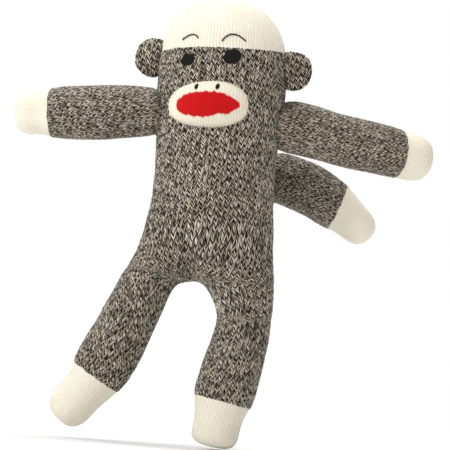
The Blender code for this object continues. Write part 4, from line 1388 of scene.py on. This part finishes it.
def build_ear(side, sign, marl, grey_yarn, filling):
    """A round stuffed pad, set into the side of the head."""
    centre = homes[f"{side}_ear"] + Vector((sign * EAR_SHIFT[side], 0.0, 0.0))
    loops, flat = [], [(0.0, 0.0)]
    for k in range(1, EAR_STEPS):
        offsets = [ear_offset(math.pi * k / EAR_STEPS, around) for around in turns(LIMB_COLUMNS)]
        loops.append([centre + offset for offset in offsets])
        flat += [(offset.x, offset.z) for offset in offsets]
    cage = Cage()
    front, back = (centre + ear_offset(turn, 0.0) for turn in (0.0, math.pi))
    cage.loft(loops, 0, start=front, end=back)
    cage.mark([*flat, (0.0, 0.0)])
    skin = Skin(cage)
    size, height = EAR_LUMPS
    skin.swell(size, 40 + sign, height)
    co = skin.raised(0.9 * marl_height(skin))
    piece = skin.piece(f"{side}_ear_skin", co, marl, normals=vertex_normals(co, skin.quads))
    finish_piece(piece, f"{side}_ear", "marl_knit", f"{side}_ear_cover", fill=0.7)
    build_stuffing(f"{side}_ear_stuffing", cage, f"{side}_ear", filling, 50 + sign, inset=1.3 * MM)

    # small stitches down the front and the back, where the ear meets the head
    x = sign * EAR_SEAM_X - (centre.x - AXIS.x)
    lines = []
    for face in (-1, 1):
        places, normals = [], []
        for z in np.linspace(-EAR_SEAM_HALF, EAR_SEAM_HALF, 17):
            reach = min(math.hypot(x, z) / EAR_RADIUS, 0.999)
            depth = EAR_HALF_DEPTH * math.sqrt(1 - reach**2.6)
            places.append(centre + Vector((x, face * (depth + 0.1 * MM), z)))
            normals.append(Vector((sign * 0.75, face * 0.66, 0.0)))
        lines.append((places, normals))
    piece = whipped(f"{side}_ear", "ear", lines, grey_yarn)
    finish_piece(piece, f"{side}_ear", "grey_yarn", f"{side}_ear_seam")


# ---------------------------------------------------------------- gathers and seams
GATHER_COLUMNS = 16
GATHER_DEPTH = 0.5 * MM         # of its stitches
PLEAT_DEPTH = 0.74              # radius of a groove between two pleats, to that of a pleat
# From the middle of the joint into the trunk: (distance, radius) of the rings, and how far the two ends are.
GATHER_RINGS = [(-0.0045, 0.0050), (0.0, 0.0062), (0.0045, 0.0056), (0.0078, 0.0034)]
GATHER_ENDS = (-0.0058, 0.0082)


def wall_distance(place):
    """Below 1 inside the trunk's outline, above 1 outside it."""
    x, y = place.x - AXIS.x, place.y - AXIS.y
    _, shift, half_x, half_y = section_at(place.z)
    return math.hypot((x - shift) / half_x, y / half_y)


def build_root(name, tube, body, marl, grey_yarn):
    """The pleated, pinched end of a tube, and the stitches round it on the trunk."""
    centre = tube.path.point(0.0)
    inward = Vector((AXIS.x - centre.x, AXIS.y - centre.y, 0)).normalized()
    across = inward.orthogonal().normalized()
    other = across.cross(inward)
    loops = []
    for along, radius in GATHER_RINGS:
        points = []
        for m, turn in enumerate(turns(GATHER_COLUMNS)):
            reach = radius * (1.0 if m % 2 else PLEAT_DEPTH)
            side = other * (reach * math.cos(turn)) - across * (reach * math.sin(turn))
            points.append(centre + inward * along + side)
        loops.append(points)
    low_end, high_end = (centre + inward * along for along in GATHER_ENDS)
    cage = Cage()
    cage.loft(loops, 0, cell=3, start=low_end, end=high_end)
    skin = Skin(cage, levels=3)
    co = skin.raised((stitch_height(skin.fabric) - STITCH_LEVEL) * GATHER_DEPTH * skin.spread)
    finish_piece(skin.piece(f"{name}_pleats", co, marl), body, "marl_knit", f"{name}_gather")

    # the seam lies where the tube's round root goes into the trunk
    radius = tube.stations[0][1]
    places, normals = [], []
    for turn in (*turns(60), 2 * math.pi):
        side = across * math.cos(turn) + other * math.sin(turn)
        low, high = 0.0, 0.5 * math.pi
        for _ in range(24):
            half = 0.5 * (low + high)
            spot = centre + (inward * math.cos(half) + side * math.sin(half)) * radius
            low, high = (half, high) if wall_distance(spot) < 1 else (low, half)
        toward = inward * math.cos(low) + side * math.sin(low)
        places.append(centre + toward * (radius + 0.3 * MM))
        wall = Vector((places[-1].x - AXIS.x, places[-1].y - AXIS.y, 0)).normalized()
        normals.append((toward + wall).normalized())
    piece = whipped(name, "root", [(places, normals)], grey_yarn)
    finish_piece(piece, body, "grey_yarn", f"{name}_seam")


def column_line(skin, low_row, high_row, keep):
    """Places and normals down the column where the two halves of the body's skin meet."""
    half_wales = HALF_COLUMNS * WALES_PER_CELL
    offset = np.abs((skin.cells[:, 0] + half_wales / 2) % half_wales - half_wales / 2)
    rows = skin.cells[:, 1]
    chosen = np.flatnonzero((offset < 1e-4) & (rows >= low_row) & (rows <= high_row) & keep)
    chosen = chosen[np.argsort(rows[chosen])][::3]
    return [Vector(p) for p in skin.co[chosen]], [Vector(n) for n in skin.normals[chosen]]


def build_body_seams(skin, crotch_row, grey_yarn):
    """The hand-sewn closing under the seat, and the seam down the inner side of each leg."""
    sides = (skin.co[:, 1] < AXIS.y, skin.co[:, 1] > AXIS.y)
    lines = [column_line(skin, crotch_row - 3.6, crotch_row, keep) for keep in sides]
    finish_piece(whipped("crotch", "crotch", lines, grey_yarn), "trunk", "grey_yarn", "crotch_seam")
    for leg in (LEFT_LEG, RIGHT_LEG):
        keep = (skin.co[:, 0] - AXIS.x > CROTCH[0]) == (leg.side == LEFT)
        line = column_line(skin, crotch_row + 1.0, leg.cuff_row - 1.0, keep)
        inseam = leg.name.replace("leg", "inseam")
        piece = whipped(inseam, "inseam", [line], grey_yarn)
        finish_piece(piece, ("trunk", leg.name), "grey_yarn", inseam, blend=leg_bend(leg))


# ---------------------------------------------------------------- studio and camera
FLOOR_Z = -1.2 * MM
FLOOR_HALF = 5.0
ROOM_RADIUS = 8.0
# Each soft lamp is (name, place, what it shines at, size, power).
LAMPS = [
    ("key", (-0.75, -1.05, 0.92), (0, 0, 0.14), 1.1, 12.0),
    ("fill", (0.5, -1.2, 0.25), (0, 0, 0.05), 1.0, 1.1),
    ("top", (0.0, 0.35, 1.5), (0, 1.5, 0.45), 1.2, 22.0),
]
WORLD_LIGHT = 0.53
CAMERA_AZIMUTH = math.radians(12.0)
CAMERA_ELEVATION = math.radians(-4.5)
CAMERA_ROLL = math.radians(4.5)
CAMERA_DISTANCE = 1.5
CAMERA_TARGET = (0.0125, -0.0096, 0.1520)
PICTURE_WIDTH = 0.308           # at the target


def build_floor():
    """A pale floor. Far from the toy, where the lamps don't reach, it is kept as pale as it is near by."""
    mesh = bpy.data.meshes.new("studio_floor")
    corners = [(-1, -1), (1, -1), (1, 1), (-1, 1)]
    places = [(x * FLOOR_HALF, y * FLOOR_HALF, FLOOR_Z) for x, y in corners]
    mesh.from_pydata(places, [], [(0, 1, 2, 3)])
    shader = Shader("studio_floor", roughness=1.0, sheen=0.0)
    shader.colour((0.92, 0.92, 0.92, 1.0))
    away = shader.node("VectorMath", {0: shader.place()}, operation="LENGTH").outputs["Value"]
    shader.glow(shader.smooth(away, 0.35, 1.3, 0.0, 0.55))
    mesh.materials.append(shader.material)
    return new_object("studio_floor", mesh)


def build_room():
    """A white ground for the camera only: the world's light passes through it."""
    bpy.ops.mesh.primitive_uv_sphere_add(segments=32, ring_count=16, radius=ROOM_RADIUS)
    room = bpy.context.object
    room.name = "studio_room"
    for kind in ("diffuse", "glossy", "transmission", "volume_scatter", "shadow"):
        setattr(room, f"visible_{kind}", False)
    shader = Shader("studio_room", roughness=1.0, sheen=0.0)
    shader.colour((0.0, 0.0, 0.0, 1.0))
    shader.surface.inputs["Specular IOR Level"].default_value = 0.0
    shader.glow(1.0)
    room.data.materials.append(shader.material)
    return room


def build_studio():
    """A pale floor in a white room, and soft light from the upper left."""
    sheet = build_floor()
    room = build_room()
    for name, place, target, size, power in LAMPS:
        lamp = bpy.data.lights.new(name, "AREA")
        lamp.shape = "DISK"
        lamp.size = size
        lamp.energy = power
        thing = new_object(name, lamp)
        thing.location = place
        thing.rotation_mode = "QUATERNION"
        thing.rotation_quaternion = (Vector(target) - Vector(place)).to_track_quat("-Z", "Y")
    world = bpy.data.worlds.new("studio")
    world.use_nodes = True
    ground = world.node_tree.nodes["Background"]
    ground.inputs["Color"].default_value = (1, 1, 1, 1)
    ground.inputs["Strength"].default_value = WORLD_LIGHT
    bpy.context.scene.world = world
    bpy.context.scene.view_settings.view_transform = "Standard"


def build_camera():
    """A long lens, a little below the toy's middle and to its left, rolled so that the toy leans."""
    back = Vector((
        math.sin(CAMERA_AZIMUTH) * math.cos(CAMERA_ELEVATION),
        -math.cos(CAMERA_AZIMUTH) * math.cos(CAMERA_ELEVATION),
        math.sin(CAMERA_ELEVATION),
    ))
    data = bpy.data.cameras.new("camera")
    data.sensor_width = 36.0
    data.lens = data.sensor_width * CAMERA_DISTANCE / PICTURE_WIDTH
    data.clip_start = 0.05
    data.clip_end = 20.0
    camera = new_object("camera", data)
    camera.location = at(*CAMERA_TARGET) + back * CAMERA_DISTANCE
    camera.rotation_mode = "QUATERNION"
    roll = Quaternion((0, 0, 1), CAMERA_ROLL)
    camera.rotation_quaternion = (-back).to_track_quat("-Z", "Y") @ roll
    bpy.context.scene.camera = camera


build_camera()
build_studio()
marl = marl_material()
# Each knit's second colour is painted shade in the grooves between its stitches, and also the darker tone
# that some stitches take at random.
cream = cream_material("cream_knit", CREAM_CREST, CREAM_DEEP)
muzzle_cream = cream_material("muzzle_knit", MUZZLE_CREST, MUZZLE_DEEP, MUZZLE_FINENESS, 0.15 * MM)
red = cream_material("red_knit", (226, 20, 22), (176, 8, 12), LIPS_FINENESS, 0.15 * MM, sheen=0.04)
# Each yarn's second colour is painted shade in the grooves between its plies.
cream_yarn = yarn_material("cream_yarn", (244, 237, 219), (206, 194, 166), sheen=0.0)
grey_yarn = yarn_material("grey_yarn", (92, 82, 70), (40, 34, 28))
black = yarn_material("black_yarn", (24, 22, 21), (7, 6, 6), roughness=0.8, sheen=0.03)
filling = filling_material()
body_skin, crotch_row = build_body(marl, cream, filling)
build_body_seams(body_skin, crotch_row, grey_yarn)
knits = (marl, cream, filling)
for side, tube, seed in (("left", LEFT_ARM, 11), ("right", RIGHT_ARM, 12)):
    nodes = (f"{side}_arm_sleeve", f"{side}_hand", f"{side}_arm_stuffing")
    build_tube(tube, f"{side}_arm", nodes, knits, seed)
    build_root(f"{side}_shoulder", tube, f"{side}_shoulder", marl, grey_yarn)
build_tube(TAIL, "tail", ("tail_sleeve", "tail_tip", "tail_stuffing"), knits, 13)
build_root("tail", TAIL, "tail_root", marl, grey_yarn)
build_ear("left", LEFT, marl, grey_yarn, filling)
build_ear("right", RIGHT, marl, grey_yarn, filling)
build_muzzle(muzzle_cream, cream_yarn, filling)
build_face(red, black)
